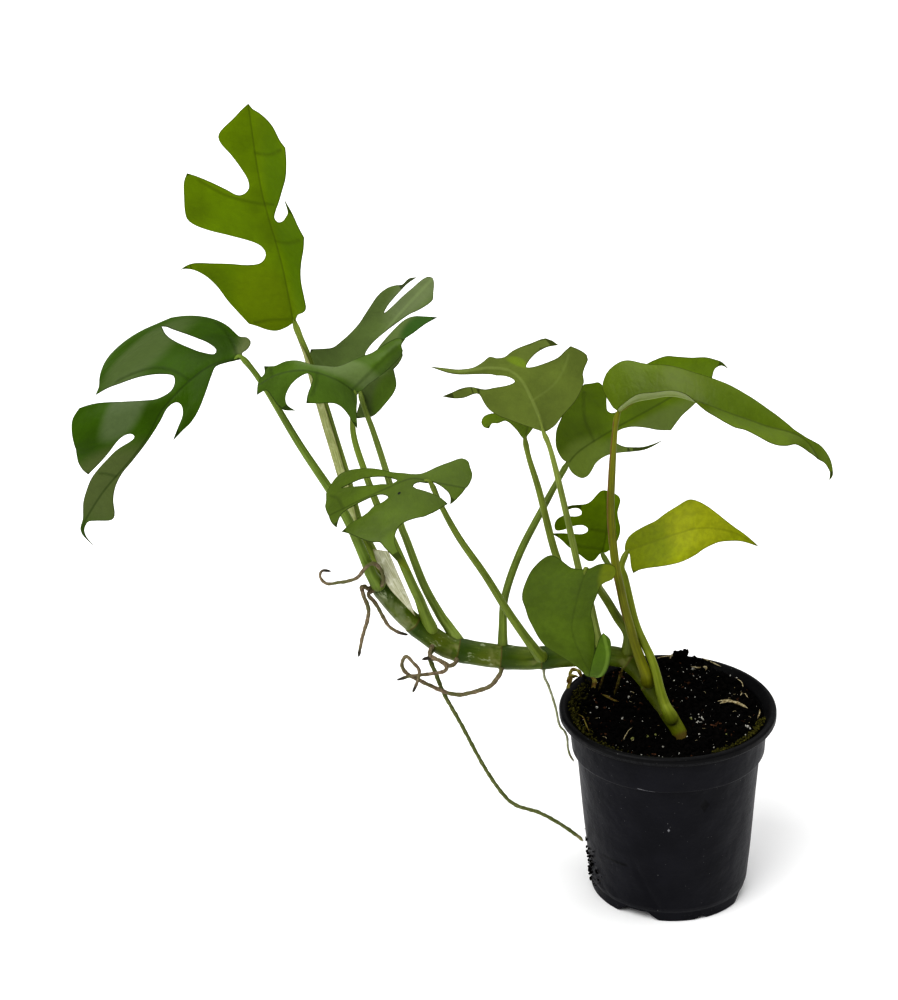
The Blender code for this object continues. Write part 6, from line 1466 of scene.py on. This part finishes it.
stem_fine, stem_run = even_line(STEM_LINE, 0.5)
for name, parts in STALKS.items():
    number, radii = name[-2:], parts["radii"]
    blade = blades["leaf_" + number]
    ends = [(0.0, 0.0), (4.0, 0.0), (10.0, 0.0)]
    under = blade.at(ends) - blade.up(ends) * np.array([[0.7], [0.75], [0.6]])
    foot = stem_fine[int(np.argmin(np.abs(stem_run - parts["foot"])))]

    def thickness(at, whole, angles, radii=radii):
        """Radius of a stalk: a clasp at its foot, a slight collar below the blade, and thin ends."""
        radius = np.interp(at / max(whole - 10, 1), np.linspace(0, 1, len(radii)), radii)
        clasp = (radii[0] - 1.7) * (math.exp(-((at - 5) / 6.0) ** 2) + 0.3 * math.exp(-((at - 14) / 9) ** 2))
        collar = 0.25 * math.exp(-(((whole - 13 - at) / 3.0) ** 2))
        fade = np.interp(whole - at, [0, 6, 10, 13], [0.2, 0.55, 0.8, 1.0])
        fade *= np.interp(at, [0, 4.5], [0.45, 1.0])
        return (radius + clasp + collar) * fade * (1 + 0.03 * np.sin(2 * angles + at * 0.03))

    look = stalk_look("stalk_skin_" + number, *parts["tints"], 0.8 if name == "petiole_09" else 0.0)
    stalk = tube("stalk_" + number, [tuple(foot), *parts["way"], *map(tuple, under)], thickness, look)
    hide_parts(name)


# Dry sheaths: the papery skins that wrapped a young leaf, split open and left standing by two stalks,
# cream with brown lines.
SHEATHS = {
    "sheath_01": dict(
        midrib=[
            (-175, 3, 286), (-172.5, 2.5, 280), (-169.5, 2, 269), (-166, 2, 256), (-162.5, 1.7, 243),
            (-158.5, 1.5, 228), (-154.5, 1.5, 212), (-151, 1.2, 197), (-148, 1, 184),
        ],
        left=[(0, (0.94, 0.1, 0.33))],
        right=[(0, (-0.94, 0.15, -0.33))],
        outline=[
            (0, 0, TIP), (12, 1.2), (25, 1.9), (45, 2.1), (70, 2.1), (92, 1.6), (105, 0.4, TIP),
            (92, -1.5), (70, -1.9), (45, -1.9), (25, -1.5), (12, -0.8),
        ],
    ),
    "sheath_02": dict(
        midrib=[
            (-121.8, -4.2, 148.6), (-126.4, -5.3, 158.4), (-131.5, -6, 168.5), (-136.3, -6, 180),
            (-140, -6, 189),
        ],
        left=[(0, (-0.9, 0.1, -0.42))],
        right=[(0, (0.9, -0.1, 0.42))],
        outline=[
            (0, 0, TIP), (6, 1.6), (12, 3), (18, 4.2), (26, 4.6), (34, 4.2), (41, 3.4, TIP), (39, 0),
            (37, -3.2, TIP), (28, -3), (20, -2.6), (12, -1.6), (6, -0.9),
        ],
    ),
}


def paper_look(name, dark, light, bright):
    """Dry sheath skin: thin, fibrous along its length, browned at its rim."""
    made, start = new_look(name)
    blade = read(start, "blade", "Vector")
    lines = blade.vector("MULTIPLY", (0.10, 1.5, 1.0)).noise(1.1, 3.0, 0.6)
    cream = lines.step(0.35, 0.7).blend(paint(*light), paint(*dark))
    cream = (blade.noise(0.25, 3.0).step(0.5, 0.75) * 0.7).blend(cream, paint(*bright))
    cream = (read(start, "edge").step(0.5, 0.0) * 0.6).blend(cream, paint(122, 112, 70))
    return dress(made, Base_Color=cream, Roughness=0.6 + lines * 0.2, Normal=start.bump(lines, 0.2))


SHEATH_LOOKS = {
    "sheath_01": paper_look("sheath_olive", (138, 146, 84), (180, 184, 130), (198, 200, 156)),
    "sheath_02": paper_look("sheath_grey", (158, 158, 122), (200, 200, 176), (222, 222, 208)),
}
for name, leaf in SHEATHS.items():
    skin, _ = blade_piece("dry_" + name, leaf, SHEATH_LOOKS[name], 0.3, 1.3, 0)
    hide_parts(name)


# Aerial roots: thin corky threads from the joints, olive-brown and ridged, with dark blunt tips; one hangs
# to the pot's foot, one curls under the stem, and one small thread runs over the rim.
ROOTS = {
    "root_01": (
        [(-137.8, -5.8, 165.5), (-136.8, -8.5, 170.5), (-138, -11, 176.5), (-141.5, -13, 180.5),
         (-145.5, -14, 178), (-148.5, -14.4, 174), (-153, -13.4, 171.5), (-158, -11, 169.5),
         (-163.5, -10, 168.5), (-166.5, -9, 171.5), (-165.5, -8.5, 174.5), (-161.5, -8, 174)],
        [1.0, 0.9, 0.8, 0.6],
    ),
    "root_02": (
        [(-143.6, -3, 162.5), (-145.8, -6, 165), (-147, -8.5, 165.5), (-146, -9.5, 161.5), (-144, -9, 155),
         (-144.5, -8, 148.5), (-147, -7, 139), (-149, -6, 128)],
        [1.1, 1.0, 0.9, 0.7],
    ),
    "root_03": (
        [(-144, -5, 160.5), (-141, -5.5, 156.5), (-138.5, -6, 152), (-136.5, -6.5, 148), (-134, -6.5, 144),
         (-130, -7, 141.5), (-125.5, -7, 140)],
        [1.0, 0.9, 0.7],
    ),
    "root_04": (
        [(-115, -6, 128), (-112, -5, 118), (-108, -5, 107), (-100, -5, 91), (-89, -5, 68), (-80, -5, 53),
         (-73, -5, 46), (-62, -5, 42), (-52, -5, 36), (-43, -5, 29), (-40, -5, 26)],
        [1.1, 0.95, 0.9, 0.9, 0.85],
    ),
    "root_05": (
        [(-102.5, -7, 125.5), (-105.5, -9, 124.5), (-108.5, -9, 126.5), (-112, -9, 128), (-116, -9, 128.5),
         (-118.5, -9, 128)],
        [1.1, 1.0, 0.8],
    ),
    "root_06": (
        [(-115, -9.5, 131.5), (-113, -11.5, 130), (-109.5, -12.5, 128.5), (-107, -13, 126),
         (-108.5, -13, 123.5), (-116.5, -13, 122), (-124.5, -13, 121), (-130.5, -13, 119)],
        [1.0, 0.9, 0.7],
    ),
    "root_07": (
        [(-81, -6, 119.5), (-83, -7, 116.5), (-85.5, -8, 113.5), (-90, -8.5, 111.5), (-95.5, -9, 110),
         (-100.5, -9, 109), (-106.5, -9, 110), (-115, -9, 114), (-119.5, -9, 116.5), (-125.5, -9, 120),
         (-128, -9.5, 124), (-128, -11, 128), (-126, -14, 132), (-123, -16, 130), (-120, -16.5, 126),
         (-120.5, -16.5, 121), (-123, -16, 114)],
        [1.1, 1.0, 0.9, 0.7],
    ),
    "root_08": (
        [(-60, -3, 116), (-57.8, -4.5, 111), (-55.4, -6, 104), (-53.9, -7.5, 98.5), (-53.2, -8, 94.5),
         (-52, -8, 91), (-50, -8, 88.5), (-48.7, -8, 85), (-48.3, -8.2, 80), (-47.3, -8.5, 76),
         (-45.3, -8.6, 72.4)],
        [0.65, 0.6, 0.55, 0.5],
    ),
}


def root_skin(name, dark, light, mossy, tip):
    """Corky root skin, ringed, with a dry dark tip."""
    made, start = new_look(name)
    place = millimetres(start)
    rings = place.noise(0.9, 4.0, 0.7)
    brown = rings.step(0.3, 0.7).blend(paint(*dark), paint(*light))
    brown = place.noise(0.12, 2.0).step(0.42, 0.7).blend(brown, paint(*mossy))
    brown = (read(start, "remaining").step(7.0, 2.0) * 0.85).blend(brown, paint(*tip))
    rough, bumps = 0.55 + rings * 0.3, start.bump(rings, 0.25)
    return dress(made, Base_Color=brown, Roughness=rough, Normal=bumps, Specular_IOR_Level=0.2)


root_look = root_skin("root_cork", (92, 80, 64), (142, 128, 104), (100, 100, 66), (44, 42, 40))
green_look = root_skin("root_green", (82, 88, 46), (122, 128, 84), (94, 102, 56), (150, 144, 104))
young_look = root_skin("root_young", (130, 132, 108), (160, 162, 136), (122, 126, 90), (110, 104, 84))
for name, (way, radii) in ROOTS.items():
    start_out = np.array(way[0], float)
    foot = stem_fine[int(np.argmin(np.linalg.norm(stem_fine - start_out, axis=1)))]
    start_in = start_out + (foot - start_out) * 0.8

    def thickness(at, whole, angles, radii=radii):
        """Radius of a root: knobbly, a little wider at the stem, its tip blunt."""
        radius = np.interp(at / whole, np.linspace(0, 1, len(radii)), radii)
        radius *= 1 + 0.07 * math.sin(at * 1.7) + 0.05 * math.sin(at * 0.63 + 1)
        radius *= np.interp(whole - at, [0, 0.8, 2.5], [0.35, 0.8, 1.0])
        return (radius + 0.5 * math.exp(-((at / 3.5) ** 2))) * (1 + 0.05 * np.sin(3 * angles + at))

    look = {"root_04": green_look, "root_08": young_look}.get(name, root_look)
    root = tube("aerial_" + name, [tuple(start_in), *way], thickness, look, 0.5, 12)
    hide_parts(name)
